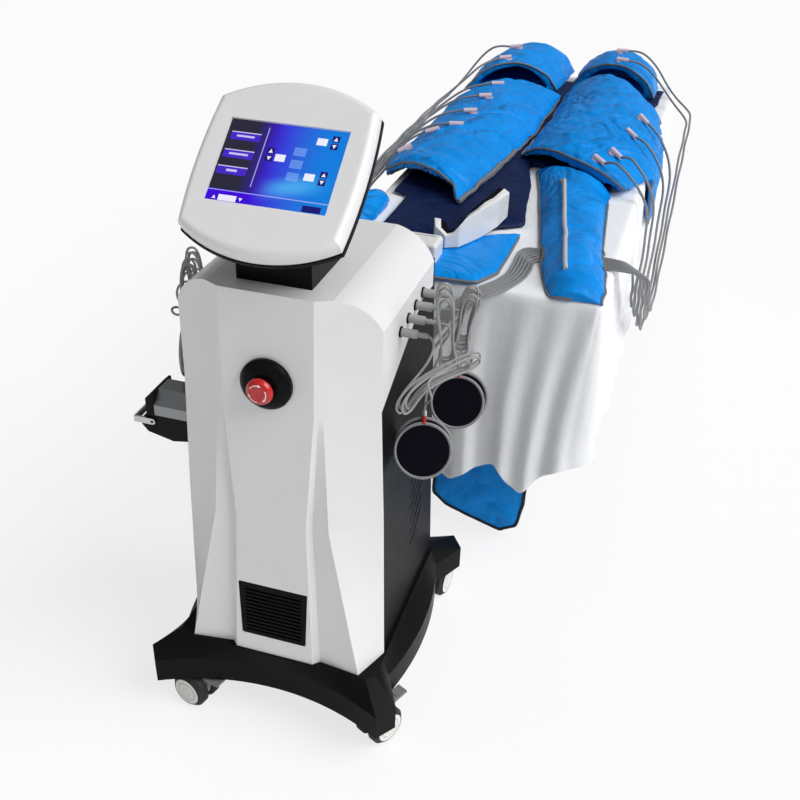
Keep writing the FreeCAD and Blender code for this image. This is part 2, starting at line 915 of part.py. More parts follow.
def cover_body(wall, low, high, front):
    """Tapered box between two heights, inset all round by a wall."""
    foot = cover_x(low) - wall
    head = cover_x(high) - wall
    corners = [(-foot, low), (foot, low), (head, high), (-head, high)]
    return prism([V(x, front, base_top + z) for x, z in corners], V(0, val("cover_rear_y") - wall - front, 0))


LOUVRE_COUNT = 6


def rear_cover():
    """Black folded cover: tapered sides with slanting louvres, the back with its openings, a slot for the hood."""
    wall = val("cover_wall")
    front = -val("cover_front_y")
    top = val("cover_top_height")
    shape = cover_body(0, 0, top, front)
    shape = carve(shape, [cover_body(wall, -overrun, top - wall, front - overrun)])
    across = 2 * (val("cover_foot_x") + overrun)
    tools = []
    for index in range(LOUVRE_COUNT):
        slot = Part.makeBox(across, val("louvre_length"), val("louvre_gap"), V(-across / 2, 0, 0))
        slot.rotate(V(0, 0, 0), X_AXIS, val("louvre_angle"))
        slot.translate(V(0, val("louvre_y"), base_top + val("louvre_height") + index * val("louvre_pitch")))
        tools.append(slot)
    rear = val("cover_rear_y")
    depth = V(0, 4 * wall, 0)
    hole_y = rear - 2 * wall
    radius = val("fan_bore_radius")
    slots = int(radius // val("fan_slot_pitch"))
    for index in range(-slots, slots + 1):
        offset = index * val("fan_slot_pitch")
        half = math.sqrt(radius ** 2 - (abs(offset) + val("fan_slot") / 2) ** 2)
        tools.append(Part.makeBox(2 * half, depth.y, val("fan_slot"),
                                  V(-half, hole_y, fan_centre() + offset - val("fan_slot") / 2)))
    half = val("inlet_width") / 2 - val("inlet_flange") + val("seat_clearance")
    low = base_top + val("inlet_foot") + val("inlet_flange") - val("seat_clearance")
    tall = val("inlet_height") - 2 * val("inlet_flange") + 2 * val("seat_clearance")
    tools.append(Part.makeBox(2 * half, depth.y, tall, V(val("inlet_x") - half, hole_y, low)))
    for x, z in nipple_places():
        tools.append(Part.makeCylinder(val("nipple_radius") + val("seat_clearance"), depth.y,
                                       V(x, hole_y, z), Y_AXIS))
    seat = val("seat_clearance")
    edge_low = val("hood_rear_height") - seat
    tools.append(Part.makeBox(across, val("shell_wall") + 2 * seat, top - edge_low + overrun,
                              V(-across / 2, val("hood_rear_y") - val("shell_wall") - seat, base_top + edge_low)))
    clear = val("jack_flange_radius") + val("jack_room")
    tools += [Part.makeCylinder(clear, across, V(-across / 2, y, z), X_AXIS) for y, z in jack_places()]
    formed("rear_cover", carve(shape, tools))


def front_grille():
    """Black air grille of level slats in a rounded frame."""
    body = new_body("front_grille")
    face = outline(sketch_on(body, "XZ_Plane"), ("-grille_foot_x", "0"), [
        (("grille_foot_x", "0"),),
        (("grille_top_x", "grille_height"),),
        (("-grille_top_x", "grille_height"),),
        (("-grille_foot_x", "0"),),
    ])
    plate = pad(body, face, "grille_thickness", backward=True)
    slot_sketch = sketch_on(body, "XZ_Plane")
    rectangle(slot_sketch, "grille_foot_x - grille_border", "grille_border", "grille_border + grille_slot")
    slot = pocket(body, slot_sketch, "2 * grille_thickness", symmetric=True)
    room = "grille_height - 2 * grille_border - grille_slot"
    rows = body.newObject("PartDesign::LinearPattern", "grille_rows")
    rows.Originals = [slot]
    rows.Direction = (slot_sketch, ["V_Axis"])
    rows.Occurrences = int(val(room) // val("grille_pitch")) + 1
    rows.setExpression("Length", ref(f"{rows.Occurrences - 1} * grille_pitch"))
    body.Tip = rows
    doc.recompute()
    upright = [f"Edge{index}" for index, edge in enumerate(rows.Shape.Edges, 1) if is_corner(edge)]
    round_edges(body, rows, upright, "grille_corner")
    body.Placement = panel_placement(val("grille_foot"))


def is_corner(edge):
    """Whether an edge of the grille is one of the four that run through its plate's corners."""
    first, last = (vertex.Point for vertex in edge.Vertexes[:2])
    through = abs(abs(first.y - last.y) - val("grille_thickness")) < val("running_clearance")
    outer = min(abs(first.x), abs(last.x)) > val("grille_foot_x - grille_border / 2")
    return through and outer


# Emergency stop

def on_panel(body, height):
    """Turn a body made about Z so that Z points out of the front panel, and seat it there."""
    seat = panel_placement(height)
    out = FreeCAD.Placement(V(0, 0, 0), FreeCAD.Rotation(X_AXIS, 90))
    body.Placement = seat.multiply(out)


def turned(label, points):
    """Body turned about Z from a closed half outline of straight edges."""
    body = new_body(label)
    steps = [(point,) for point in points[1:]] + [(points[0],)]
    revolve(body, outline(sketch_on(body, "XZ_Plane"), points[0], steps))
    return body


EIGHTH_TURN_SHARE = round(math.sqrt(0.5), 4)


def emergency_stop():
    """Domed plate, sliding stem, red mushroom cap and the contact block behind the panel."""
    bore = "estop_bore_radius + running_clearance"
    plate = new_body("estop_plate")
    revolve(plate, outline(sketch_on(plate, "XZ_Plane"), (bore, "0"), [
        (("estop_plate_radius", "0"),),
        (("estop_plate_radius", "estop_plate_rim"),),
        (("(estop_plate_radius + estop_dome_radius) / 2 + estop_plate_rim / 4",
          "(estop_plate_rim + estop_dome_height) / 2 + estop_plate_rim / 4"),
         ("estop_dome_radius", "estop_dome_height")),
        ((bore, "estop_dome_height"),),
        ((bore, "0"),),
    ]))
    seat = "(estop_dome_height + estop_gap)"
    stem = turned("estop_stem", [
        ("0", "-estop_stem_inside"), ("estop_bore_radius", "-estop_stem_inside"), ("estop_bore_radius", seat),
        ("estop_nose_radius", seat), ("estop_nose_radius", f"{seat} + estop_nose_length"),
        ("0", f"{seat} + estop_nose_length"),
    ])
    cap = new_body("estop_cap")
    low = f"{seat} + running_clearance"
    nose = "estop_nose_radius + running_clearance"
    floor = f"{seat} + estop_nose_length + running_clearance"
    top = f"{seat} + estop_cap_height"
    crown = "(estop_cap_height - estop_cap_lip - running_clearance)"
    brim = f"({low} + estop_cap_lip)"
    bend = (f"estop_cap_radius - {crown} * {1 - EIGHTH_TURN_SHARE:.4f}", f"{brim} + {crown} * {EIGHTH_TURN_SHARE}")
    revolve(cap, outline(sketch_on(cap, "XZ_Plane"), (nose, low), [
        (("estop_cap_radius - estop_cap_lip", low),),
        (("estop_cap_radius", brim),),
        (bend, (f"estop_cap_radius - {crown}", top)),
        (("0", top),),
        (("0", floor),),
        ((nose, floor),),
        ((nose, low),),
    ]))
    contact = new_body("estop_block")
    wide = "estop_block_width / 2"
    behind = "shell_wall + recess_depth"
    deep = f"({behind} + estop_block_depth)"
    rectangle_sketch = sketch_on(contact, "XY_Plane", f"-({deep})")
    rectangle(rectangle_sketch, wide, f"-({wide})", wide)
    pad(contact, rectangle_sketch, "estop_block_depth")
    hole = circle(sketch_on(contact, "XY_Plane", f"-({behind})"), ("0", "0"), bore)
    pocket(contact, hole, f"estop_stem_inside - ({behind}) + estop_travel + estop_gap")
    for body in (plate, stem, cap, contact):
        on_panel(body, val("estop_height"))


# Screen head on its tilting neck

PIN_Z = f"({HOOD_TOP} + tilt_pin_height)"


def neck_bracket():
    """Black bracket on the hood: a floor, a front lip and two cheeks with ears for the pin."""
    body = new_body("neck_bracket")
    front = "-neck_front_y"
    rear = "(neck_depth - neck_front_y)"
    top = f"{HOOD_TOP} + neck_lip_height"
    cheek = sketch_on(body, "YZ_Plane")
    outline(cheek, (front, HOOD_TOP), [
        ((front, top),),
        (("-tilt_pin_y - neck_ear_radius", PIN_Z),),
        (("-tilt_pin_y", f"{PIN_Z} + neck_ear_radius"), ("-tilt_pin_y + neck_ear_radius", PIN_Z)),
        ((rear, top),),
        ((rear, HOOD_TOP),),
        ((front, HOOD_TOP),),
    ])
    circle(cheek, ("-tilt_pin_y", PIN_Z), "tilt_pin_radius + running_clearance")
    pad(body, cheek, "2 * neck_half_width", symmetric=True)
    room = sketch_on(body, "YZ_Plane")
    over = "tilt_pin_height"
    inner = "-neck_front_y + neck_wall"
    floor = f"{HOOD_TOP} + neck_plate"
    outline(room, (inner, floor), [
        ((inner, f"{PIN_Z} + {over}"),),
        ((f"{rear} + {over}", f"{PIN_Z} + {over}"),),
        ((f"{rear} + {over}", floor),),
        ((inner, floor),),
    ])
    pocket(body, room, "2 * (neck_half_width - neck_wall)", symmetric=True)


def tilt_pin():
    """Cross pin of the neck, with a flat head at each end."""
    reach = "(neck_half_width + seat_clearance)"
    half = [("tilt_pin_radius", reach), ("tilt_pin_head_radius", reach),
            ("tilt_pin_head_radius", f"{reach} + tilt_pin_head")]
    points = [("0", f"-({reach} + tilt_pin_head)")]
    points += [(x, f"-({z})") for x, z in reversed(half)] + half + [("0", f"{reach} + tilt_pin_head")]
    pin = turned("tilt_pin", points)
    place(pin, "0", "-tilt_pin_y", PIN_Z, Y_AXIS, 90)


def barrel(sketch, grow):
    """Head outline: nearly straight sides, and ends that bow outwards."""
    x = f"(head_corner_x + {grow})"
    v = f"(head_corner_v + {grow})"
    side = f"(head_side_x + {grow})"
    end = f"(head_end_v + {grow})"
    return outline(sketch, (f"-{x}", f"-{v}"), [
        (("0", f"-{end}"), (x, f"-{v}")),
        ((side, "0"), (x, v)),
        (("0", end), (f"-{x}", v)),
        ((f"-{side}", "0"), (f"-{x}", f"-{v}")),
    ])


def seat_head(body):
    """Turn a piece of the head to its tilt, with its local Z along the display's outward normal."""
    turn = FreeCAD.Rotation(X_AXIS, 90 - val("screen_tilt"))
    pin = V(0, -val("tilt_pin_y"), val(PIN_Z))
    body.Placement = FreeCAD.Placement(pin + turn.multVec(V(0, val("head_rise"), val("head_to_pin"))), turn)
    doc.recompute()


def screen_head():
    """White barrel bezel, display module, black rear housing and its hinge lug."""
    bezel = new_body("screen_bezel")
    depth = "(bezel_depth - screen_wall)"
    body_pad = pad(bezel, barrel(sketch_on(bezel, "XY_Plane", f"-{depth}"), "0"), "bezel_depth")
    front = [f"Edge{index}" for index, edge in enumerate(body_pad.Shape.Edges, 1)
             if edge.BoundBox.ZMin > val("screen_wall - running_clearance")]
    round_edges(bezel, body_pad, front, "bezel_edge")
    window = sketch_on(bezel, "XY_Plane", "screen_wall")
    rectangle(window, "display_width / 2", "-display_height / 2", "display_height / 2")
    pocket(bezel, window, "bezel_depth")
    well = sketch_on(bezel, "XY_Plane", f"-{depth}")
    half_v = "display_height / 2 + display_border"
    rectangle(well, "display_width / 2 + display_border", f"-({half_v})", half_v)
    pocket(bezel, well, depth, backward=True)

    module = new_body("touch_panel")
    half_v = "display_height / 2 + display_border - seat_clearance"
    plate = sketch_on(module, "XY_Plane", "-panel_glass")
    rectangle(plate, "display_width / 2 + display_border - seat_clearance", f"-({half_v})", half_v)
    pad(module, plate, "panel_glass")

    back = new_body("screen_back")
    rim = f"{depth} + back_rim_depth"
    pad(back, barrel(sketch_on(back, "XY_Plane", f"-({rim})"), "back_rim"), "back_rim_depth")
    lower = barrel(sketch_on(back, "XY_Plane", f"-({rim})"), "back_rim")
    upper = barrel(sketch_on(back, "XY_Plane", f"-({rim} + back_depth)"), "0 - back_taper")
    loft(back, lower, upper)
    lug = sketch_on(back, "YZ_Plane")
    pin = ("-head_rise", "-head_to_pin")
    root = f"-({rim} + back_depth / 2)"
    outline(lug, ("-head_rise - neck_ear_radius", root), [
        (("-head_rise - neck_ear_radius", "-head_to_pin"),),
        (("-head_rise", "-head_to_pin - neck_ear_radius"), ("-head_rise + neck_ear_radius", "-head_to_pin")),
        (("-head_rise + neck_ear_radius", root),),
        (("-head_rise - neck_ear_radius", root),),
    ])
    circle(lug, pin, "tilt_pin_radius + running_clearance")
    pad(back, lug, "2 * lug_half_width", symmetric=True)
    for body in (bezel, module, back):
        seat_head(body)


# Works inside the housing

def air_pump():
    """Diaphragm pump: crankcase block, motor and outlet on the floor of the base."""
    left = "-pump_length / 2"
    case = block("pump_case", ("pump_length", "pump_width", "pump_height"),
                 (left, "pump_y - pump_width / 2", BASE_TOP))
    motor = rod("pump_motor", "pump_motor_radius", "pump_motor_length",
                ("pump_length / 2", "pump_y", f"{BASE_TOP} + pump_motor_radius"), X_AXIS)
    outlet = rod("pump_outlet", "2 * nipple_radius", "nipple_length",
                 (left + " / 2", "pump_y", f"{BASE_TOP} + pump_height"))
    keep(fuse("air_pump", [case, motor, outlet]), "air_pump")


def power_supply():
    """Boxed power supply behind the pump."""
    keep(block("power_supply", ("supply_length", "supply_width", "supply_height"),
               ("-supply_length / 2", "supply_y - supply_width / 2", BASE_TOP)), "power_supply")


REAR_INSIDE = "(cover_rear_y - cover_wall)"
NIPPLE_ROWS = 2
NIPPLES_PER_ROW = 9


def nipple_texts():
    """Places of the hose nipples on the back as expressions, row by row."""
    middle = (NIPPLES_PER_ROW - 1) / 2
    return [(f"({column} - {middle}) * manifold_width / {NIPPLES_PER_ROW}",
             f"{BASE_TOP} + manifold_foot + ({line} + 1 / 2) * manifold_height / {NIPPLE_ROWS}")
            for line in range(NIPPLE_ROWS) for column in range(NIPPLES_PER_ROW)]


def nipple_places():
    """Places of the hose nipples on the back as numbers."""
    return [(val(x), val(z)) for x, z in nipple_texts()]


def valve_manifold():
    """Air manifold on the back wall: a bar with a row of valves, and nipples out through the wall."""
    low = f"{BASE_TOP} + manifold_foot"
    front = f"{REAR_INSIDE} - manifold_depth"
    bar = block("manifold_bar", ("manifold_width", "manifold_depth", "manifold_height"),
                ("-manifold_width / 2", front, low))
    parts = [bar]
    valves = int(val("manifold_width") // val("valve_pitch"))
    for index in range(valves):
        x = f"({index} - {valves - 1} / 2) * valve_pitch"
        parts.append(rod(f"valve_{index}", "valve_radius", "valve_height",
                         (x, f"{REAR_INSIDE} - manifold_depth / 2", f"{low} + manifold_height")))
    for x, z in nipple_texts():
        parts.append(rod("nipple", "nipple_radius", "nipple_length", (x, REAR_INSIDE, z), Y_AXIS))
    keep(fuse("valve_manifold", parts), "valve_manifold")


def control_board():
    """Circuit board on four standoffs from the back wall."""
    low = f"{BASE_TOP} + board_foot"
    back = f"{REAR_INSIDE} - board_standoff"
    parts = [block("board_plate", ("board_width", "board_thickness", "board_height"),
                   ("-board_width / 2", f"{back} - board_thickness", low))]
    edge = "2 * board_standoff_radius"
    for x in (f"-board_width / 2 + {edge}", f"board_width / 2 - {edge}"):
        for z in (f"{low} + {edge}", f"{low} + board_height - {edge}"):
            parts.append(rod("board_standoff", "board_standoff_radius", "board_standoff", (x, back, z), Y_AXIS))
    for x in ("-board_chip * 2", "-board_chip / 2", "board_chip"):
        parts.append(block("board_chip", ("board_chip", "board_chip_height", "board_chip"),
                           (x, f"{back} - board_thickness - board_chip_height", f"{low} + board_height / 3")))
    keep(fuse("control_board", parts), "control_board")


def fan_centre():
    """Height of the fan's axis."""
    return base_top + val("fan_foot") + val("fan_size") / 2


BLADE_COUNT = 7
SPIDER_ARMS = 3


def cooling_fan():
    """Square fan frame with a spider and shaft, and the bladed rotor that turns on the shaft."""
    centre = V(0, 0, fan_centre())
    rear = val(REAR_INSIDE)
    depth = val("fan_depth")
    front = rear - depth
    half = val("fan_size") / 2
    radius = val("fan_bore_radius")
    hub = val("fan_hub_radius")
    spider = val("fan_spider")
    gap = val("fan_blade_gap")
    shaft = val("fan_shaft_radius")
    frame = Part.makeBox(2 * half, depth, 2 * half, V(-half, front, centre.z - half))
    frame = carve(frame, [Part.makeCylinder(radius, depth, V(0, front, centre.z), Y_AXIS)])
    parts = [Part.makeCylinder(hub, spider, V(0, front, centre.z), Y_AXIS),
             Part.makeCylinder(shaft, depth - 2 * gap, V(0, front, centre.z), Y_AXIS)]
    for index in range(SPIDER_ARMS):
        arm = Part.makeBox(radius + gap, spider, spider, V(0, front, centre.z - spider / 2))
        arm.rotate(centre, Y_AXIS, index * 360 / SPIDER_ARMS)
        parts.append(arm)
    formed("fan_frame", join([frame] + parts))
    begin = front + spider + gap / 2
    room = rear - gap - begin
    rotor = Part.makeCylinder(hub, room, V(0, begin, centre.z), Y_AXIS)
    swept = Part.makeCylinder(radius - gap, room, V(0, begin, centre.z), Y_AXIS)
    blades = []
    for index in range(BLADE_COUNT):
        blade = Part.makeBox(radius, room * 2, val("fan_blade_thickness"),
                             V(0, begin - room / 2, centre.z - val("fan_blade_thickness") / 2))
        blade.rotate(V(0, begin + room / 2, centre.z), X_AXIS, val("fan_blade_angle"))
        blade.rotate(V(0, begin + room / 2, centre.z), Y_AXIS, index * 360 / BLADE_COUNT)
        blades.append(blade.common(swept))
    bore = Part.makeCylinder(shaft + val("running_clearance"), room, V(0, begin, centre.z), Y_AXIS)
    formed("fan_rotor", carve(join([rotor] + blades), [bore]))


def power_inlet():
    """Mains inlet and switch housing in the back wall; its flange lies on the outside."""
    flange = val("inlet_flange")
    width = val("inlet_width")
    height = val("inlet_height")
    outside = val("cover_rear_y")
    lip = val("inlet_lip")
    depth = val("inlet_depth")
    centre = V(val("inlet_x"), outside, base_top + val("inlet_foot"))
    plate = Part.makeBox(width, lip, height, centre - V(width / 2, 0, 0))
    inner = Part.makeBox(width - 2 * flange, depth, height - 2 * flange,
                         centre + V(flange - width / 2, -depth, flange))
    shape = join([plate, inner])
    half = val("socket_width") / 2
    tall = val("socket_height")
    slope = val("socket_chamfer")
    corners = [(-half, 0), (half, 0), (half, tall - slope), (half - slope, tall), (slope - half, tall),
               (-half, tall - slope)]
    floor = centre + V(0, lip - val("socket_depth"), val("socket_rise"))
    socket = prism([floor + V(x, 0, z) for x, z in corners], V(0, val("socket_depth"), 0))
    room = val("rocker_room")
    deep = val("rocker_sunk") + val("rocker_height") / 2 + room
    rocker_wide = val("rocker_width") + 2 * val("seat_clearance")
    rocker_tall = val("rocker_height") + 2 * room
    seat = centre + V(-rocker_wide / 2, lip - deep, val("rocker_rise") - rocker_tall / 2)
    pocket_box = Part.makeBox(rocker_wide, deep, rocker_tall, seat)
    reach = rocker_wide + 2 * val("rocker_pin_length")
    trunnion = Part.makeCylinder(val("rocker_pin_radius") + val("running_clearance"), reach,
                                 rocker_pivot() - V(reach / 2, 0, 0), X_AXIS)
    shape = carve(shape, [socket, pocket_box, trunnion])
    pins = []
    for x in (-val("socket_pin_pitch"), 0, val("socket_pin_pitch")):
        pin = Part.makeBox(val("socket_pin_width"), val("socket_depth") - lip, val("socket_pin_height"),
                           floor + V(x - val("socket_pin_width") / 2, 0, tall / 3))
        pins.append(pin)
    formed("power_inlet", join([shape] + pins))


def rocker_pivot():
    """Middle of the rocker's pin."""
    return V(val("inlet_x"), val("cover_rear_y") + val("inlet_lip") - val("rocker_sunk"),
             base_top + val("inlet_foot") + val("rocker_rise"))


def rocker_switch():
    """Rocker with a dished face on its own pin."""
    half = val("rocker_height") / 2
    proud = val("rocker_sunk") + val("rocker_proud")
    foot = half - val("rocker_room")
    profile = [(-half, proud), (0, proud - val("rocker_dip")), (half, proud), (half, 0), (foot, -foot), (-foot, -foot),
               (-half, 0)]
    pivot = rocker_pivot()
    width = val("rocker_width")
    paddle = prism([pivot + V(-width / 2, y, z) for z, y in profile], V(width, 0, 0))
    reach = width + 2 * val("rocker_pin_length")
    pin = Part.makeCylinder(val("rocker_pin_radius"), reach, pivot - V(reach / 2, 0, 0), X_AXIS)
    formed("rocker_switch", join([paddle, pin]))


# Side connector

def connector():
    """Multi-pole connector on the left side: housing with a keel, metal hood and locking bail."""
    foot = val("connector_foot")
    middle = foot + val("connector_keel")
    top = middle + val("connector_block_height")
    roof = top + val("connector_hood_height")
    rear = -val("connector_y") + val("connector_depth")
    outer = -cover_x(middle) - val("connector_reach")
    end = val("connector_end")
    slope = val("connector_chamfer")
    gap = val("seat_clearance")

    def level(height):
        return base_top + height

    def wall_x(height):
        return -cover_x(height)

    profile = [
        (wall_x(middle), middle), (wall_x(middle) - end, foot + slope / 2), ((outer + wall_x(middle)) / 2, foot),
        (outer, foot + slope), (outer - slope, middle + slope), (outer - slope, top - slope), (outer, top),
        (outer, roof - slope), (outer + slope, roof), (outer + end, roof), (outer + end, top), (wall_x(top), top),
    ]
    depth = V(0, val("connector_depth"), 0)
    near = -val("connector_y")
    housing = prism([V(x, near, level(z)) for x, z in profile], depth)
    pin_x = outer + val("lever_height")
    pin_z = level(top) - val("lever_height")
    pin_reach = val("lever_thickness") + val("lever_gap")
    pins = Part.makeCylinder(val("lever_pin_radius"), depth.y + 2 * pin_reach,
                             V(pin_x, near - pin_reach, pin_z), Y_AXIS)
    formed("connector_housing", join([housing, pins]))

    side = [(near, level(top)), (near, level(roof) - 2 * slope), (near + 2 * slope, level(roof)),
            (rear - slope, level(roof)), (rear, level(roof) - slope), (rear, level(top))]
    start = outer + end + gap
    hood = prism([V(start, y, z) for y, z in side], V(wall_x(roof) - gap - start, 0, 0))
    lean = prism([V(wall_x(top), near - overrun, level(top)), V(wall_x(roof), near - overrun, level(roof)),
                  V(wall_x(roof) + end, near - overrun, level(roof)), V(wall_x(top) + end, near - overrun, level(top))],
                 depth + V(0, 2 * overrun, 0))
    formed("connector_hood", hood.cut(lean))

    arm = val("lever_height")
    thick = val("lever_thickness")
    shift = val("lever_gap")
    tip = outer - slope - arm
    bars = []
    for y in (near - shift - thick, rear + shift):
        bar = Part.makeBox(pin_x - tip, thick, arm, V(tip, y, pin_z - arm / 2))
        eye = Part.makeCylinder(arm / 2, thick, V(pin_x, y, pin_z), Y_AXIS)
        bars += [bar, eye]
    cross = Part.makeBox(thick, depth.y + 2 * (shift + thick), arm, V(tip, near - shift - thick, pin_z - arm / 2))
    hole = Part.makeCylinder(val("lever_pin_radius") + val("running_clearance"), depth.y + 4 * arm,
                             V(pin_x, near - 2 * arm, pin_z), Y_AXIS)
    formed("connector_lever", carve(join([cross] + bars), [hole]))


# Cords: straight runs joined by tangent arcs

BEND_SHARE = 0.45
TUBE_SIDES = 6


def corner_arcs(route):
    """Start, middle and end of the arc at each inner point, as large as its two runs allow."""
    arcs = []
    for before, corner, after in zip(route, route[1:], route[2:]):
        into = corner - before
        out = after - corner
        turn = into.getAngle(out)
        reach = BEND_SHARE * min(into.Length, out.Length)
        radius = reach / math.tan(turn / 2)
        begin = corner - V(into).normalize() * reach
        end = corner + V(out).normalize() * reach
        toward = ((begin + end) / 2 - corner).normalize()
        middle = corner + toward * (math.hypot(radius, reach) - radius)
        arcs.append((begin, middle, end, radius))
    return arcs


def route_wire(route):
    """Wire of a route, and its tightest radius."""
    edges = []
    at = route[0]
    arcs = corner_arcs(route)
    for begin, middle, end, _ in arcs:
        edges.append(Part.LineSegment(at, begin).toShape())
        edges.append(Part.Arc(begin, middle, end).toShape())
        at = end
    edges.append(Part.LineSegment(at, route[-1]).toShape())
    return Part.Wire(edges), min(arc[3] for arc in arcs)


def tube(name, route, diameter):
    """Closed faceted tube along a route; its volume is compared with its section times its length."""
    path, tightest = route_wire(route)
    along = (route[1] - route[0]).normalize()
    side = along.cross(Z_AXIS if abs(along.z) < BEND_SHARE * 2 else X_AXIS).normalize()
    lift = along.cross(side)
    step = 2 * math.pi / TUBE_SIDES
    ring = [route[0] + (side * math.cos(index * step) + lift * math.sin(index * step)) * (diameter / 2)
            for index in range(TUBE_SIDES)]
    section = polygon(ring)
    solid = path.makePipeShell([section], True, False)
    share = solid.Volume / (Part.Face(section).Area * path.Length)
    print(f"{name}: length {path.Length:.0f}, tightest radius {tightest:.1f}, volume share {share:.3f}")
    return solid


def least_gap(points, diameter):
    """Least gap between parts of one tube that are well apart along it."""
    skip = math.ceil(2 * diameter / (points[1] - points[0]).Length)
    least = min((points[i] - points[j]).Length for i in range(len(points)) for j in range(i + skip, len(points)))
    return least - diameter


def hank(tie, first, last, across, loops, bend):
    """Loops drawn in at a tie: each turns at the first end, passes the tie and turns at the last end."""
    step = val("hank_step")
    side = across * val("hank_waist")
    axis = (first - last).normalize()
    stack = across.cross(axis)
    points = []
    for index in range(loops):
        shift = stack * (step * (index - (loops - 1) / 2))
        share = HANK_SHARES[index % len(HANK_SHARES)]
        wide = across * (bend * (1 + share))
        near = first + axis * ((first - tie).Length * share) + shift
        far = last - axis * ((last - tie).Length * share) + shift
        points += [tie + side + shift, near + wide, near - wide, tie - side + shift, far - wide,
                   far + wide + stack * (step / 2)]
    return points + [tie + side + stack * (step * (loops + 1) / 2)]


HANK_SHARES = (0.0, 0.14, -0.12, 0.06)


# Electrode jacks, plugs, leads and pads

def jack_solid(side, y, z):
    """Jack bushing through the hood's side, with an outer flange and an inner nut."""
    out = V(side, 0, 0)
    face = V(side * val("wing_top_x"), y, z)
    wall = val("shell_wall")
    radius = val("jack_radius") - val("seat_clearance")
    flange = Part.makeCylinder(val("jack_flange_radius"), val("jack_flange"), face, out)
    barrel_part = Part.makeCylinder(radius, val("jack_body"), face, out * -1)
    nut = Part.makeCylinder(val("jack_flange_radius"), val("jack_nut"), face - out * wall, out * -1)
    bore = Part.makeCylinder(val("jack_bore") + val("running_clearance"), val("plug_pin_length") + val("jack_flange"),
                             face + out * val("jack_flange"), out * -1)
    return carve(join([flange, barrel_part, nut]), [bore])


def jack_sockets():
    """Four electrode jacks on each side of the hood."""
    solids = [jack_solid(side, y, z) for side in (-1, 1) for y, z in jack_places()]
    formed("jack_sockets", Part.makeCompound(solids))


RELIEF_RIBS = 4
LEFT_LEADS = (1, 2)
RIGHT_LEADS = (0, 1, 2, 3)


def plug_face(side, index):
    """Point where a plug meets its jack's flange."""
    y, z = jack_places()[index]
    return V(side * (val("wing_top_x") + val("jack_flange")), y, z)


def relief_end(side, index):
    """Point where a lead leaves its plug's strain relief."""
    return plug_face(side, index) + V(side * (val("plug_length") + val("relief_length")), 0, 0)


def plug_solid(side, index):
    """Barrel plug with its pin in the jack and a ribbed strain relief."""
    face = plug_face(side, index)
    out = V(side, 0, 0)
    pin = Part.makeCylinder(val("jack_bore"), val("plug_pin_length"), face, out * -1)
    body = Part.makeCylinder(val("plug_radius"), val("plug_length"), face, out)
    parts = [body, pin]
    rib = val("relief_length") / RELIEF_RIBS
    start = face + out * val("plug_length")
    core = val("relief_radius") - val("relief_groove")
    for number in range(RELIEF_RIBS):
        at = start + out * (number * rib)
        parts.append(Part.makeCylinder(val("relief_radius"), rib / 2, at, out))
        parts.append(Part.makeCylinder(core, rib / 2, at + out * (rib / 2), out))
    return join(parts)


def ems_plugs():
    """Electrode plugs, four on the right and two on the left."""
    solids = [plug_solid(-1, index) for index in LEFT_LEADS] + [plug_solid(1, index) for index in RIGHT_LEADS]
    formed("ems_plugs", Part.makeCompound(solids))


# Hand-chosen places of the lead routes, in millimetres

HANK_LOOPS = 4
VIEW_SIDE = V(0.28, -0.96, 0)
RIGHT_HANKS = {
    0: {
        "out": [(247, -60, 839), (250, -68, 822), (242, -80, 800)],
        "tie": (240, -95, 776), "first": (215, -131, 733), "last": (312, -22, 792), "bend": 14,
        "tail": [(260, -114, 764), (258, -94, 738), (240, -56, 710)],
    },
    1: {
        "out": [(251, -12, 848), (264, -14, 843), (266, -20, 832)],
        "tie": (266, -36, 818), "first": (262, -16, 775), "last": (265, -78, 941), "bend": 16,
        "tail": [(254, -58, 798), (246, -52, 768), (239, -40, 738), (230, -18, 712)],
    },
    2: {
        "out": [(251, 34, 853), (262, 46, 849), (266, 62, 834)],
        "tie": (272, 50, 808), "first": (268, 62, 762), "last": (291, 14, 903), "bend": 15,
        "tail": [(262, 30, 782), (255, 36, 752), (250, 62, 726), (248, 104, 712), (246, 142, 712)],
    },
    3: {
        "out": [(250, 80, 857), (254, 98, 853), (254, 122, 840), (252, 134, 818)],
        "tie": (262, 118, 795), "first": (258, 124, 748), "last": (280, 100, 858), "bend": 13,
        "tail": [(252, 92, 772), (242, 100, 746), (238, 132, 724), (243, 160, 714)],
    },
}
LEFT_HANKS = {
    1: {
        "out": [(-250, -14, 847), (-258, -26, 838), (-252, -42, 827), (-238, -52, 818)],
        "tie": (-216, -66, 812), "first": (-212, -94, 712), "last": (-213, -58, 902), "bend": 14,
        "tail": [(-232, -90, 815), (-246, -78, 818), (-251, -54, 812)],
    },
    2: {
        "out": [(-250, 33, 852), (-260, 29, 844), (-258, 25, 832), (-254, 23, 822)],
        "tie": (-232, 9, 816), "first": (-216, -2, 738), "last": (-244, 14, 892), "bend": 13.5,
        "tail": [(-244, -16, 813)],
    },
}
PAD_PAIRS = {
    "right_front": {"centre": (238, -62, 606), "facing": (0.263, -0.902, 0.342), "second": (0, 2, 8),
                    "leads": (0, 1)},
    "right_rear": {"centre": (254, 128, 604), "facing": (0.263, -0.902, 0.342), "second": (7, 2, 9),
                   "leads": (2, 3)},
    "left": {"centre": (-252, -30, 712), "facing": (-0.96, -0.28, 0), "second": (0, 6, 6), "leads": (1, 2)},
}


def pad_axes(pair):
    """Outward normal of a pair of pads, and the way up in their plane."""
    normal = V(*pair["facing"]).normalize()
    up = (Z_AXIS - normal * normal.dot(Z_AXIS)).normalize()
    return normal, up


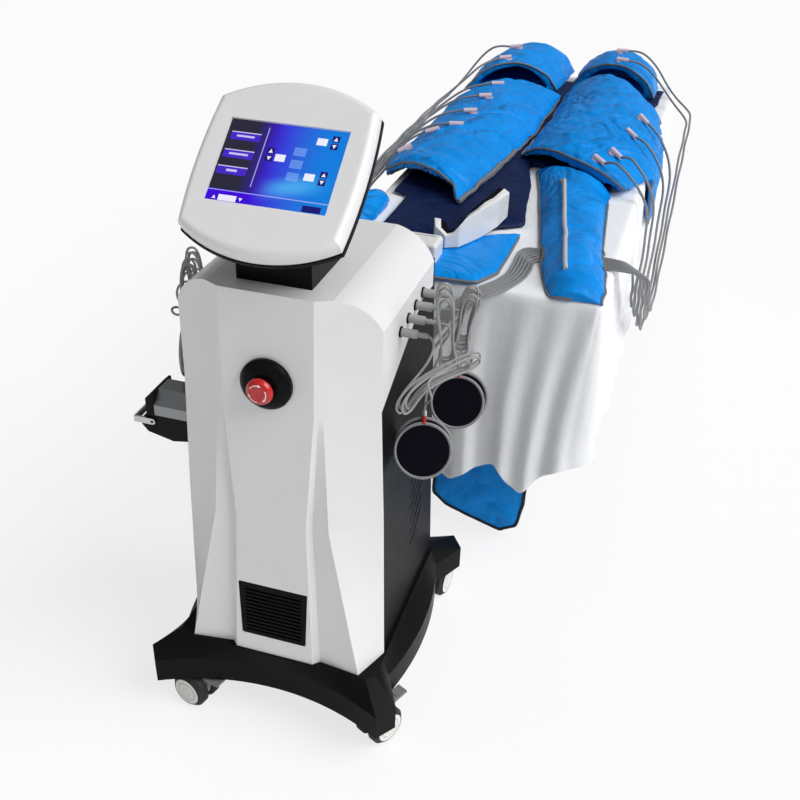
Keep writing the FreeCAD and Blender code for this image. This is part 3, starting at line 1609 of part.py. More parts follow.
def pad_centres(pair):
    """Middle of the front face of each pad of a pair, the second behind the first."""
    normal, _ = pad_axes(pair)
    front = V(*pair["centre"])
    apart = val("pad_thickness") + val("pad_gap")
    return [front, front - normal * apart + V(*pair["second"])]


def pad_solid(pair, centre):
    """Dished electrode pad with the snap that its lead clips into."""
    normal, up = pad_axes(pair)
    thick = val("pad_thickness")
    radius = val("pad_radius")
    plate = Part.makeCylinder(radius, thick, centre - normal * thick, normal)
    dish = Part.makeCylinder(radius - thick, thick / 3, centre - normal * (thick / 3), normal)
    start = centre - normal * (thick / 2) + up * (radius - thick)
    snap = Part.makeCylinder(val("snap_radius") / 2, val("snap_length") + thick, start, up)
    return join([carve(plate, [dish]), snap])


def snap_end(pair, centre):
    """Point where a lead enters the pad's snap."""
    normal, up = pad_axes(pair)
    return centre - normal * (val("pad_thickness") / 2) + up * (val("pad_radius") + val("snap_length"))


def electrode_pads():
    """Round electrode pads, in pairs that hang from their leads."""
    solids = [pad_solid(pair, centre) for pair in PAD_PAIRS.values() for centre in pad_centres(pair)]
    formed("electrode_pads", Part.makeCompound(solids))


def lead_route(side, index, plan):
    """Route of one lead: out of its plug, round its hank and down to its pad."""
    names_of_side = [name for name in PAD_PAIRS if name.startswith("right" if side > 0 else "left")]
    pair = next(PAD_PAIRS[name] for name in names_of_side if index in PAD_PAIRS[name]["leads"])
    _, up = pad_axes(pair)
    end = snap_end(pair, pad_centres(pair)[pair["leads"].index(index)])
    tie, first, last = (V(*plan[key]) for key in ("tie", "first", "last"))
    across = (first - last).cross(VIEW_SIDE).normalize()
    turns = hank(tie, first, last, across, HANK_LOOPS, plan["bend"])
    start = [relief_end(side, index)] + [V(*point) for point in plan["out"]]
    tail = [V(*point) for point in plan["tail"]] + [end + up * val("snap_length"), end]
    return start + turns + tail


def ems_leads(label, side, plans):
    """Electrode leads of one side, each a single cord with a tied hank in it."""
    solids = []
    diameter = val("lead_diameter")
    for index, plan in plans.items():
        route = lead_route(side, index, plan)
        solids.append(tube(f"{label} {index}", route, diameter))
        path = route_wire(route)[0]
        points = path.discretize(Distance=diameter)
        print(f"{label} {index}: least gap to itself {least_gap(points, diameter):.2f}")
    formed(label, Part.makeCompound(solids))


# Couch that carries the suit

COUCH_TOP = "couch_top_height"
FRAME_TOP = "(couch_top_height - mattress_thickness)"
LEFT_EDGE = "(couch_x - couch_width / 2)"
RIGHT_EDGE = "(couch_x + couch_width / 2)"
FAR_EDGE = "(couch_near_y + couch_length)"


def on_couch(places, height):
    """Points over the couch, from shares of its width off the middle and of its length off the near end."""
    x, width = val("couch_x"), val("couch_width")
    y, length = val("couch_near_y"), val("couch_length")
    return [V(x + across * width, y + along * length, height) for across, along in places]


def couch_top():
    """Upholstered top with rounded corners and edges."""
    body = new_body("couch_top")
    corners = [("couch_width / 2", "0"), ("couch_width / 2", "couch_length"), ("-couch_width / 2", "couch_length")]
    start = ("-couch_width / 2", "0")
    plan = outline(sketch_on(body, "XY_Plane"), start, [(corner,) for corner in corners] + [(start,)])
    slab = pad(body, plan, "mattress_thickness")
    upright = [f"Edge{index}" for index, edge in enumerate(slab.Shape.Edges, 1)
               if edge.BoundBox.ZLength > val("mattress_thickness / 2")]
    round_edges(body, slab, upright, "mattress_edge")
    place(body, "couch_x", "couch_near_y", FRAME_TOP)


def couch_frame():
    """Steel frame: two long rails, cross rails and four legs."""
    low = f"{FRAME_TOP} - rail_size"
    left = f"{LEFT_EDGE} + rail_inset_x"
    right = f"{RIGHT_EDGE} - rail_inset_x - rail_size"
    near = "couch_near_y + rail_inset_y"
    run = "couch_length - 2 * rail_inset_y"
    span = "couch_width - 2 * rail_inset_x"
    near_leg = "couch_near_y + leg_inset_y"
    far_leg = f"{FAR_EDGE} - leg_inset_y - rail_size"
    far = f"{FAR_EDGE} - rail_inset_y - rail_size"
    parts = [block("long_rail", ("rail_size", run, "rail_size"), (x, near, low)) for x in (left, right)]
    for y in (near, near_leg, far_leg, far):
        parts.append(block("cross_rail", (span, "rail_size", "rail_size"), (left, y, low)))
    for x in (left, right):
        for y in (near_leg, far_leg):
            parts.append(block("leg", ("rail_size", "rail_size", f"{low} - foot_height"), (x, y, "foot_height")))
    keep(fuse("couch_frame", parts), "couch_frame")


def couch_feet():
    """Four round rubber feet under the legs."""
    parts = []
    for x in (f"{LEFT_EDGE} + rail_inset_x + rail_size / 2", f"{RIGHT_EDGE} - rail_inset_x - rail_size / 2"):
        for y in ("couch_near_y + leg_inset_y + rail_size / 2", f"{FAR_EDGE} - leg_inset_y - rail_size / 2"):
            parts.append(rod("foot", "foot_radius", "foot_height", (x, y, "0")))
    feet = doc.addObject("Part::Compound", "couch_feet")
    feet.Links = parts
    doc.recompute()
    keep(feet, "couch_feet")


NEAR_FOLD_SHARES = (0.0, 0.07, 0.13, 0.2, 0.27, 0.33, 0.41, 0.47, 0.55, 0.61, 0.69, 0.76, 0.84, 0.9, 1.0)
SIDE_FOLD_SHARES = (0.0, 0.05, 0.11, 0.17, 0.24, 0.3, 0.37, 0.45, 0.52, 0.6, 0.67, 0.75, 0.83, 0.92, 1.0)
NEAR_HEM_SHARES = ((-0.62, 0.48), (-0.3, 0.4), (-0.05, 0.28), (0.02, 0.22), (0.124, 0.292), (0.234, 0.35),
                   (0.3, 0.25), (0.356, 0.229), (0.54, 0.43), (0.62, 0.48))


def fold_line(begin, end, shares, out, depth):
    """Arcs of a folded edge from one corner to another, by turns out and in."""
    points = [begin + (end - begin) * share for share in shares]
    arcs = []
    for index, (one, two) in enumerate(zip(points, points[1:])):
        bulge = out * (depth if index % 2 else -depth / 2)
        arcs.append(Part.Arc(one, (one + two) / 2 + bulge, two).toShape())
    return arcs


def skirt_ring(height, grow, depth):
    """Closed folded outline round the couch at a height."""
    left = val(LEFT_EDGE) - grow
    right = val(RIGHT_EDGE) + grow
    near = val("couch_near_y") - grow
    far = val(FAR_EDGE) + grow
    corners = [V(left, near, height), V(right, near, height), V(right, far, height), V(left, far, height)]
    outward = [V(0, -1, 0), V(1, 0, 0), V(0, 1, 0), V(-1, 0, 0)]
    shares = [NEAR_FOLD_SHARES, SIDE_FOLD_SHARES, NEAR_FOLD_SHARES, SIDE_FOLD_SHARES]
    edges = []
    for index in range(len(corners)):
        edges += fold_line(corners[index], corners[(index + 1) % len(corners)], shares[index], outward[index], depth)
    return Part.Wire(edges)


def couch_sheet():
    """Cover sheet over the couch, hanging in folds all round, with an uneven hem at the near end."""
    thick = val("sheet_thickness")
    gap = val("layer_gap")
    gather = val("sheet_gather")
    top = val(COUCH_TOP) + thick
    low = val("sheet_low")
    flare = val("sheet_flare")
    fold = val("sheet_fold")
    snug = gap + gather / 2
    outside = [skirt_ring(top, snug + thick, gather), skirt_ring(low, snug + thick + flare, fold)]
    room = [skirt_ring(top - thick, snug, gather), skirt_ring(low - thick, snug + flare, fold)]
    shape = carve(Part.makeLoft(outside, True, True), [Part.makeLoft(room, True, True)])
    width = val("couch_width")
    beyond = flare + fold + thick + snug
    near = val("couch_near_y")
    hem = [V(val("couch_x") + x * width, near - beyond, z * val(COUCH_TOP)) for x, z in NEAR_HEM_SHARES]
    below = [V(hem[-1].x, near - beyond, low - thick), V(hem[0].x, near - beyond, low - thick)]
    side_low = Part.makeBox(width + 2 * beyond, val("couch_length") + beyond, val("sheet_side_hem") - low + thick,
                            V(val(LEFT_EDGE) - beyond, near + gap, low - thick))
    shape = carve(shape, [prism(hem + below, V(0, beyond + gap, 0)), side_low])
    formed("couch_sheet", shape)


FLAP_SHARES = ((-0.06, 0.97), (-0.06, 0.14), (0.0, 0.09), (0.1, 0.055), (0.225, 0.02), (0.285, 0.06), (0.31, 0.17),
               (0.31, 0.97))


def hanging_flap():
    """Padded panel of the suit that hangs below the sheet at the near end, held at the cross rail."""
    rear = val("couch_near_y + rail_inset_y - seat_clearance")
    height = val(FRAME_TOP)
    middle = val("couch_x")
    width = val("couch_width")
    points = [V(middle + x * width, rear, z * height) for x, z in FLAP_SHARES]
    formed("hanging_flap", prism(points, V(0, -val("flap_thickness"), 0)))


# Suit

SWELL_SHARES = ((0.0, 0.02), (0.35, 0.0), (0.75, 0.02), (1.0, 0.09))


def swell(points, low, thickness):
    """Closed padded form over an outline: drawn in at its foot, full at its side and crowned."""
    middle = sum(points, V(0, 0, 0)) / len(points)
    wires = []
    for rise, draw in SWELL_SHARES:
        ring = [point + (middle - point) * draw for point in points]
        wires.append(polygon([V(point.x, point.y, low + rise * thickness) for point in ring]))
    return Part.makeLoft(wires, True, True)


LAID = "(couch_top_height + sheet_thickness + layer_gap)"
OVER_BACK = f"({LAID} + back_thickness + layer_gap)"

BACK_SHARES = ((-0.4, 0.112), (-0.165, 0.112), (0.03, 0.166), (0.13, 0.19), (0.075, 0.338), (0.01, 0.44),
               (0.03, 0.436), (0.2, 0.391), (0.4, 0.363), (0.4, 0.64), (0.45, 0.74), (0.47, 0.945), (-0.54, 0.945),
               (-0.54, 0.8), (-0.47, 0.7), (-0.47, 0.25), (-0.4, 0.24))
BELT_SHARES = ((-0.372, -0.008), (0.075, -0.004), (0.132, 0.035), (0.138, 0.165), (0.046, 0.149), (-0.155, 0.096),
               (-0.372, 0.096))


def suit_back():
    """Back panel of the suit, laid out on the sheet."""
    formed("suit_back", swell(on_couch(BACK_SHARES, 0), val(LAID), val("back_thickness")))


def waist_belt():
    """Waist belt across the near end."""
    formed("waist_belt", swell(on_couch(BELT_SHARES, 0), val(LAID), val("belt_thickness")))


def arch_wire(left, right, crown, thick):
    """Section of a panel that arches from one edge to the other."""
    top = V((left.x + right.x) / 2, (left.y + right.y) / 2, crown)
    inner = [left + V(thick, 0, 0), top - V(0, 0, thick), right - V(thick, 0, 0)]
    edges = [
        Part.Arc(left, top, right).toShape(),
        Part.LineSegment(right, inner[2]).toShape(),
        Part.Arc(inner[2], inner[1], inner[0]).toShape(),
        Part.LineSegment(inner[0], left).toShape(),
    ]
    return Part.Wire(edges)


LEFT_FRONT_SHARES = ((-0.57, -0.15, 0.205), (-0.585, -0.09, 0.36), (-0.575, -0.036, 0.55), (-0.565, -0.03, 0.81))
LEFT_NEAR_SHARES = ((-0.7, 0.352), (-0.576, 0.345), (-0.534, 0.309), (-0.339, 0.263), (-0.2, 0.239), (-0.158, 0.211),
                    (0.1, 0.205))
LEFT_FAR_SHARES = ((-0.7, 0.715), (-0.486, 0.728), (-0.04, 0.79), (0.1, 0.8))


def trimmed(shape, near, far, low, high):
    """Panel less what lies before its near edge and past its far edge."""
    across = (near[0][0], near[-1][0])
    ends = [(across[1], 0.0), (across[0], 0.0)]
    past = [(far[-1][0], 1.0), (far[0][0], 1.0)]
    rise = V(0, 0, high - low)
    return carve(shape, [prism(on_couch(tuple(near) + tuple(ends), low), rise),
                         prism(on_couch(tuple(far) + tuple(past), low), rise)])


def suit_left_front():
    """Left front panel, arched over the back panel and open towards the near end."""
    foot = val(OVER_BACK)
    crown = foot + val("left_crown")
    thick = val("front_thickness")
    hang = val("front_hang")
    wires = []
    for left, right, along in LEFT_FRONT_SHARES:
        edge, inner = on_couch(((left, along), (right, along)), foot)
        wires.append(arch_wire(edge - V(0, 0, hang), inner, crown, thick))
    shape = Part.makeLoft(wires, True, True)
    formed("suit_left_front", trimmed(shape, LEFT_NEAR_SHARES, LEFT_FAR_SHARES, foot - 2 * hang, crown + hang))


RIGHT_FRONT_SHARES = ((-0.075, 0.44, 0.34, 0.0, 0.45), (-0.05, 0.548, 0.45, 1.0, 0.85),
                      (-0.021, 0.548, 0.62, 1.0, 1.0), (-0.012, 0.44, 0.85, 0.0, 1.0))
RIGHT_NEAR_SHARES = ((-0.1, 0.445), (0.0, 0.44), (0.03, 0.43), (0.2, 0.385), (0.43, 0.353), (0.6, 0.353))
RIGHT_FAR_SHARES = ((-0.1, 0.85), (0.005, 0.84), (0.28, 0.8), (0.6, 0.68))
DROP_SHARES = ((0.45, 0.92), (0.5, 1.0), (0.56, 0.88), (0.62, 0.72))


def suit_right_front():
    """Right front panel, arched higher, with its outer edge let down over the side of the couch."""
    foot = val(OVER_BACK)
    rise = val("right_crown")
    crown = foot + rise
    thick = val("front_thickness")
    hang = val("right_hang")
    wires = []
    for left, right, along, share, height in RIGHT_FRONT_SHARES:
        inner, edge = on_couch(((left, along), (right, along)), foot)
        wires.append(arch_wire(inner, edge - V(0, 0, hang * share), foot + rise * height, thick))
    arch = trimmed(Part.makeLoft(wires, True, True), RIGHT_NEAR_SHARES, RIGHT_FAR_SHARES,
                   foot - thick, crown + thick)
    side = RIGHT_FRONT_SHARES[1][1]
    hem = on_couch([(side, along) for along, _ in DROP_SHARES], 0)
    low = [point + V(0, 0, foot - hang - share * val("right_drop")) for point, (_, share) in zip(hem, DROP_SHARES)]
    top = foot - hang + thick / 4
    drop = prism(low + [V(low[-1].x, low[-1].y, top), V(low[0].x, low[0].y, top)], V(-thick / 2, 0, 0))
    formed("suit_right_front", join([arch, drop]))


def dome_wire(left, right, low, height):
    """Flat-bottomed section under one arc."""
    foot = V(left.x, left.y, low)
    other = V(right.x, right.y, low)
    top = (foot + other) / 2 + V(0, 0, height)
    return Part.Wire([Part.LineSegment(foot, other).toShape(), Part.Arc(other, top, foot).toShape()])


LEFT_BOOT_SHARES = ((-0.55, 0.765, -0.07, 0.83, 1.0), (-0.55, 0.87, -0.05, 0.9, 1.05),
                    (-0.5, 0.985, -0.04, 0.985, 0.95))
RIGHT_BOOT_SHARES = ((-0.03, 0.875, 0.44, 0.845, 1.0), (-0.03, 0.93, 0.44, 0.92, 1.05),
                     (-0.02, 0.985, 0.42, 0.985, 0.95))


def boot(label, shares):
    """Boot with an open mouth towards the near end and a closed toe."""
    wall = val("boot_wall")
    low = val(OVER_BACK)
    tall = val("boot_height")
    outer = []
    inner = []
    for left_x, left_y, right_x, right_y, share in shares:
        left, right = on_couch(((left_x, left_y), (right_x, right_y)), low)
        along = (right - left).normalize()
        outer.append(dome_wire(left, right, low, tall * share))
        inner.append(dome_wire(left + along * (2 * wall), right - along * (2 * wall), low + wall / 2,
                               tall * share - 3 * wall / 2))
    body = Part.makeLoft(outer, True, True)
    first = inner[0].copy()
    first.translate(V(0, -wall / 2, 0))
    last = inner[-1].copy()
    last.translate(V(0, -2 * wall, 0))
    formed(label, carve(body, [Part.makeLoft([first] + inner[1:-1] + [last], True, True)]))


SLEEVE_RIGHT_SHARES = ((0.31, 0.503, -0.003, 0.5), (0.275, 0.51, 0.03, 1.0), (0.2, 0.45, 0.15, 1.0),
                       (0.09, 0.4, 0.338, 1.0), (0.02, 0.44, 0.45, 1.4))
SHOULDER_GAP_SHARE = 0.0012
SLEEVE_LEFT_SHARES = ((-0.56, -0.45, 0.12, 0.5), (-0.575, -0.42, 0.15, 0.9), (-0.575, -0.42, 0.2, 0.9),
                      (-0.56, -0.44, 0.228, 0.6))
ZIP_SHARES = ((0.35, 0.034), (0.2, 0.335))
TUNNEL_SHARES = (0.17, 0.55)
TUNNEL_ALONG_SHARES = (0.086, 0.134)


def sleeve(shares):
    """Arm sleeve, flattened and closed at its ends."""
    low = val(LAID)
    wires = []
    for left, right, along, share in shares:
        begin, end = on_couch(((left, along), (right, along)), low)
        wires.append(dome_wire(begin, end, low, val("sleeve_height") * share))
    return Part.makeLoft(wires, True, True)


def hose_tunnel():
    """Low way through which the hoses pass below the right sleeve."""
    near, far = TUNNEL_ALONG_SHARES
    left, right = TUNNEL_SHARES
    corners = on_couch(((left, near), (right, near), (right, far), (left, far)), val(LAID) - val("layer_gap"))
    return prism(corners, V(0, 0, val("tunnel_height")))


def zip_line():
    """Begin and end of the zip on the right sleeve's left edge."""
    return on_couch(ZIP_SHARES, val(LAID))


def shoulder_cut():
    """All that lies past the right front panel's near edge, where the right sleeve ends."""
    low = val(LAID) - val("layer_gap")
    edge = [(across, along - SHOULDER_GAP_SHARE) for across, along in RIGHT_NEAR_SHARES]
    past = [(edge[-1][0], 1.0), (edge[0][0], 1.0)]
    return prism(on_couch(edge + past, low), V(0, 0, 3 * val("sleeve_height")))


def sleeves():
    """Both arm sleeves; the right one with its zip tape along its left edge."""
    begin, end = zip_line()
    width = V(val("zip_width"), 0, 0)
    tape = prism([begin - width, begin + width, end + width, end - width], V(0, 0, val("zip_tape_height")))
    formed("sleeve_right", carve(join([sleeve(SLEEVE_RIGHT_SHARES), tape]), [hose_tunnel(), shoulder_cut()]))
    formed("sleeve_left", sleeve(SLEEVE_LEFT_SHARES))


def zip_pull():
    """Zip slider on the tape, with its pull tab."""
    begin, end = zip_line()
    along = (begin - end).normalize()
    side = Z_AXIS.cross(along)
    length = val("zip_slider_length")
    half = side * (val("zip_slider_width") / 2)
    floor = end + along * length - V(val("zip_width") / 2, 0, 0)
    floor += V(0, 0, val("zip_tape_height") + val("running_clearance"))
    slider = prism([floor - half, floor + half, floor + half + along * length, floor - half + along * length],
                   V(0, 0, val("zip_slider_height")))
    thick = val("zip_tab_thickness")
    neck = floor + along * (length / 2) + V(0, 0, val("zip_slider_height") - thick / 2)
    reach = along * val("zip_tab_length")
    tab = prism([neck - half / 2, neck + half / 2, neck + half / 2 + reach, neck - half / 2 + reach], V(0, 0, thick))
    formed("zip_pull", join([slider, tab]))


# Goggles and accessory box that lie on the belt

GOGGLE_LINE = [(56, 642), (70, 598), (98, 584), (128, 600), (162, 673), (185, 755), (195, 830)]
GOGGLE_TOP_SHARES = ((40, 0.7), (72, 0.62), (100, 0.42), (112, 0.46), (136, 0.86), (158, 1.0), (180, 0.97),
                     (215, 0.72))


def band(line, near, far, low, high):
    """Upright band beside a line on the couch, between two distances to its left."""
    points = [V(x, y, low) for x, y in line]
    runs = [(two - one).normalize() for one, two in zip(points, points[1:])]
    ways = [runs[0]] + [(one + two).normalize() for one, two in zip(runs, runs[1:])] + [runs[-1]]
    lefts = [Z_AXIS.cross(way) for way in ways]
    one = [point + left * near for point, left in zip(points, lefts)]
    two = [point + left * far for point, left in zip(points, lefts)]
    return prism(one + two[::-1], V(0, 0, high - low))


def brow(low, height):
    """Tool that gives a band its uneven top edge, with the dip over the nose."""
    line = [V(x, 0, low + share * height) for x, share in GOGGLE_TOP_SHARES]
    top = low + 2 * height
    y = val("couch_near_y")
    edge = [V(line[-1].x, 0, top), V(line[0].x, 0, top)]
    return prism([point + V(0, y, 0) for point in line + edge], V(0, val("couch_length") / 2, 0))


def goggles():
    """White visor shell and the dark padding behind it."""
    height = val("goggle_height")
    wall = val("goggle_shell_wall")
    low = val(OVER_BACK)
    shell = band(GOGGLE_LINE, 0, wall, low, low + height)
    formed("goggle_shell", carve(shell, [brow(low, height)]))
    cushion = band(GOGGLE_LINE, wall + val("layer_gap"), wall + val("goggle_pad_wall"), low, low + height)
    formed("goggle_pad", carve(cushion, [brow(low, height)]))


BOX_HOLE_SHARES = ((-0.3, -0.05), (-0.1, -0.02), (0.06, -0.08), (0.2, -0.12))


def accessory_box():
    """Small white box with bevelled edges, a slot and four holes in its lid."""
    middle = V(val("box_x"), val("box_y"), val(LAID) + val("belt_thickness") + val("layer_gap"))
    width = val("box_width")
    length = val("box_length")
    height = val("box_height")
    box = Part.makeBox(width, length, height, middle - V(width / 2, length / 2, 0))
    upper = [edge for edge in box.Edges if edge.BoundBox.ZMax > middle.z + height / 2]
    box = box.makeFillet(val("box_edge"), upper)
    slot = Part.makeBox(2 * width / 3, val("box_slot"), 2 * val("box_slot"),
                        middle + V(-width / 3, length / 5, height - val("box_slot")))
    holes = [Part.makeCylinder(val("box_slot") / 4, val("box_slot"),
                               middle + V(x * width, y * length, height - val("box_slot") / 2))
             for x, y in BOX_HOLE_SHARES]
    formed("accessory_box", carve(box, [slot] + holes))


# Hose couplers: a round foot on the panel and a barrel that the hose leaves

COUPLERS = {
    "left_0": ("suit_left_front", (-150, 1128), (-1.0, -0.25)),
    "left_1": ("suit_left_front", (-110, 1263), (-1.0, -0.2)),
    "left_2": ("suit_left_front", (-52, 1300), (-1.0, -0.1)),
    "left_3": ("suit_left_front", (-47, 1450), (-1.0, -0.2)),
    "left_4": ("suit_left_front", (-42, 1627), (-1.0, -0.2)),
    "left_5": ("suit_left_front", (-37, 1781), (-1.0, -0.2)),
    "left_6": ("boot_left", (-60, 1988), (-1.0, -0.3)),
    "left_7": ("boot_left", (-57, 2150), (-1.0, -0.1)),
    "right_0": ("suit_right_front", (356, 1198), (0.8, -0.6)),
    "right_1": ("suit_right_front", (392, 1264), (0.8, -0.6)),
    "right_2": ("suit_right_front", (412, 1436), (0.8, -0.6)),
    "right_3": ("suit_right_front", (430, 1600), (0.8, -0.6)),
    "right_4": ("boot_right", (300, 2110), (1.0, -0.05)),
    "right_5": ("boot_right", (285, 2230), (1.0, 0.0)),
}


def labelled(label):
    """Finished sub-part of a name."""
    return next(piece for piece in pieces if piece.Label == label)


def top_of(shape, x, y):
    """Highest point of a shape over a place, from what a slender column has in common with it."""
    wide = val("layer_gap")
    low = shape.BoundBox.ZMin
    column = Part.makeBox(wide, wide, shape.BoundBox.ZLength + overrun, V(x - wide / 2, y - wide / 2, low))
    return V(x, y, max(vertex.Z for vertex in shape.common(column).Vertexes))


def coupler_axes(name):
    """Seat of a coupler, the panel's normal there and the way its barrel points."""
    panel, (x, y), heading = COUPLERS[name]
    shape = labelled(panel).Shape
    reach = val("coupler_base_radius")
    ahead = top_of(shape, x + reach, y) - top_of(shape, x - reach, y)
    beside = top_of(shape, x, y + reach) - top_of(shape, x, y - reach)
    normal = ahead.cross(beside).normalize()
    way = V(*heading, 0)
    way = (way - normal * normal.dot(way)).normalize()
    bulge = max(0, (top_of(shape, x, y) - (top_of(shape, x + reach, y) + top_of(shape, x - reach, y)) / 2).z)
    return top_of(shape, x, y) + normal * (val("layer_gap") + bulge / 4), normal, way


def coupler_end(name):
    """Point where a hose leaves its coupler, and the way it leaves."""
    seat, normal, way = coupler_axes(name)
    rise = val("coupler_base_height") + val("coupler_neck")
    return seat + normal * rise + way * (val("coupler_length") * 3 / 4), way


def hose_couplers():
    """Round feet with short necks and barrels, one for each hose."""
    solids = []
    for name in COUPLERS:
        seat, normal, way = coupler_axes(name)
        rise = val("coupler_base_height") + val("coupler_neck")
        foot = Part.makeCylinder(val("coupler_base_radius"), val("coupler_base_height"), seat, normal)
        neck = Part.makeCylinder(val("coupler_radius") * 3 / 4, rise, seat, normal)
        start = seat + normal * rise - way * (val("coupler_length") / 4)
        body = Part.makeCylinder(val("coupler_radius"), val("coupler_length"), start, way)
        solids.append(join([foot, neck, body]))
    formed("hose_couplers", Part.makeCompound(solids))


# Air hoses from the couplers to the nipples on the console's back, places in millimetres

LEFT_HOSES = {
    "left_0": {
        "nipple": 12,
        "points": [
            (-203, 1111, 744), (-222, 1090, 718), (-231, 1050, 695), (-225, 950, 686),
            (-231, 850, 677), (-225, 750, 664), (-231, 650, 650), (-225, 560, 634), (-231, 490, 613),
            (-215, 430, 592), (-183, 378, 572), (-138, 350, 558), (-90, 332, 548), (-48, 302, 540),
            (-30, 260, 534),
        ],
    },
    "left_1": {
        "nipple": 3,
        "points": [
            (-172, 1248, 764), (-203, 1230, 738), (-222, 1200, 709), (-225, 1150, 690),
            (-231, 1050, 684), (-225, 950, 675), (-231, 850, 666), (-225, 750, 653), (-231, 650, 639),
            (-225, 560, 623), (-231, 490, 602), (-215, 430, 579), (-183, 378, 558), (-138, 350, 543),
            (-90, 332, 531), (-48, 302, 521), (-30, 260, 515),
        ],
    },
    "left_2": {
        "nipple": 11,
        "points": [
            (-112, 1294, 794), (-145, 1288, 783), (-180, 1276, 764), (-212, 1256, 736),
            (-232, 1218, 713), (-235, 1150, 701), (-241, 1050, 695), (-235, 950, 686),
            (-241, 850, 677), (-235, 750, 664), (-241, 650, 650), (-235, 560, 634), (-241, 490, 613),
            (-227, 416, 592), (-193, 364, 572), (-148, 336, 558), (-106, 318, 548), (-74, 290, 540),
            (-58, 254, 534),
        ],
    },
    "left_3": {
        "nipple": 2,
        "points": [
            (-107, 1437, 792), (-140, 1428, 782), (-176, 1415, 762), (-208, 1396, 734),
            (-230, 1362, 710), (-237, 1312, 696), (-241, 1250, 692), (-235, 1150, 690),
            (-241, 1050, 684), (-235, 950, 675), (-241, 850, 666), (-235, 750, 653), (-241, 650, 639),
            (-235, 560, 623), (-241, 490, 602), (-227, 416, 579), (-193, 364, 558), (-148, 336, 543),
            (-106, 318, 531), (-74, 290, 521), (-58, 254, 515),
        ],
    },
    "left_4": {
        "nipple": 10,
        "points": [
            (-102, 1614, 792), (-136, 1606, 782), (-173, 1594, 762), (-207, 1577, 735),
            (-236, 1548, 714), (-246, 1503, 708), (-251, 1450, 707), (-245, 1350, 705),
            (-251, 1250, 703), (-245, 1150, 701), (-251, 1050, 695), (-245, 950, 686),
            (-251, 850, 677), (-245, 750, 664), (-251, 650, 650), (-245, 560, 634), (-251, 490, 613),
            (-239, 402, 592), (-203, 350, 572), (-158, 322, 558), (-122, 302, 548), (-99, 278, 540),
            (-85, 248, 534),
        ],
    },
    "left_5": {
        "nipple": 1,
        "points": [
            (-97, 1768, 793), (-131, 1759, 783), (-168, 1747, 763), (-203, 1730, 736),
            (-234, 1702, 711), (-246, 1650, 697), (-245, 1550, 695), (-251, 1450, 696),
            (-245, 1350, 694), (-251, 1250, 692), (-245, 1150, 690), (-251, 1050, 684),
            (-245, 950, 675), (-251, 850, 666), (-245, 750, 653), (-251, 650, 639), (-245, 560, 623),
            (-251, 490, 602), (-239, 402, 579), (-203, 350, 558), (-158, 322, 543), (-122, 302, 531),
            (-99, 278, 521), (-85, 248, 515),
        ],
    },
    "left_6": {
        "nipple": 9,
        "points": [
            (-132, 1926, 822), (-172, 1888, 782), (-208, 1862, 748), (-236, 1846, 722),
            (-252, 1826, 710), (-257, 1800, 705), (-255, 1750, 706), (-261, 1650, 706),
            (-255, 1550, 706), (-261, 1450, 707), (-255, 1350, 705), (-261, 1250, 703),
            (-255, 1150, 701), (-261, 1050, 695), (-255, 950, 686), (-261, 850, 677), (-255, 750, 664),
            (-261, 650, 650), (-255, 560, 634), (-261, 490, 613), (-251, 388, 592), (-213, 338, 572),
            (-168, 310, 558), (-136, 290, 548), (-120, 266, 540), (-113, 242, 534),
        ],
    },
    "left_7": {
        "nipple": 0,
        "points": [
            (-130, 2141, 836), (-170, 2133, 810), (-203, 2120, 768), (-228, 2100, 730),
            (-246, 2056, 704), (-257, 2000, 692), (-255, 1950, 691), (-261, 1850, 693),
            (-255, 1750, 695), (-261, 1650, 695), (-255, 1550, 695), (-261, 1450, 696),
            (-255, 1350, 694), (-261, 1250, 692), (-255, 1150, 690), (-261, 1050, 684),
            (-255, 950, 675), (-261, 850, 666), (-255, 750, 653), (-261, 650, 639), (-255, 560, 623),
            (-261, 490, 602), (-251, 388, 579), (-213, 338, 558), (-168, 310, 543), (-136, 290, 531),
            (-120, 266, 521), (-113, 242, 515),
        ],
    },
}
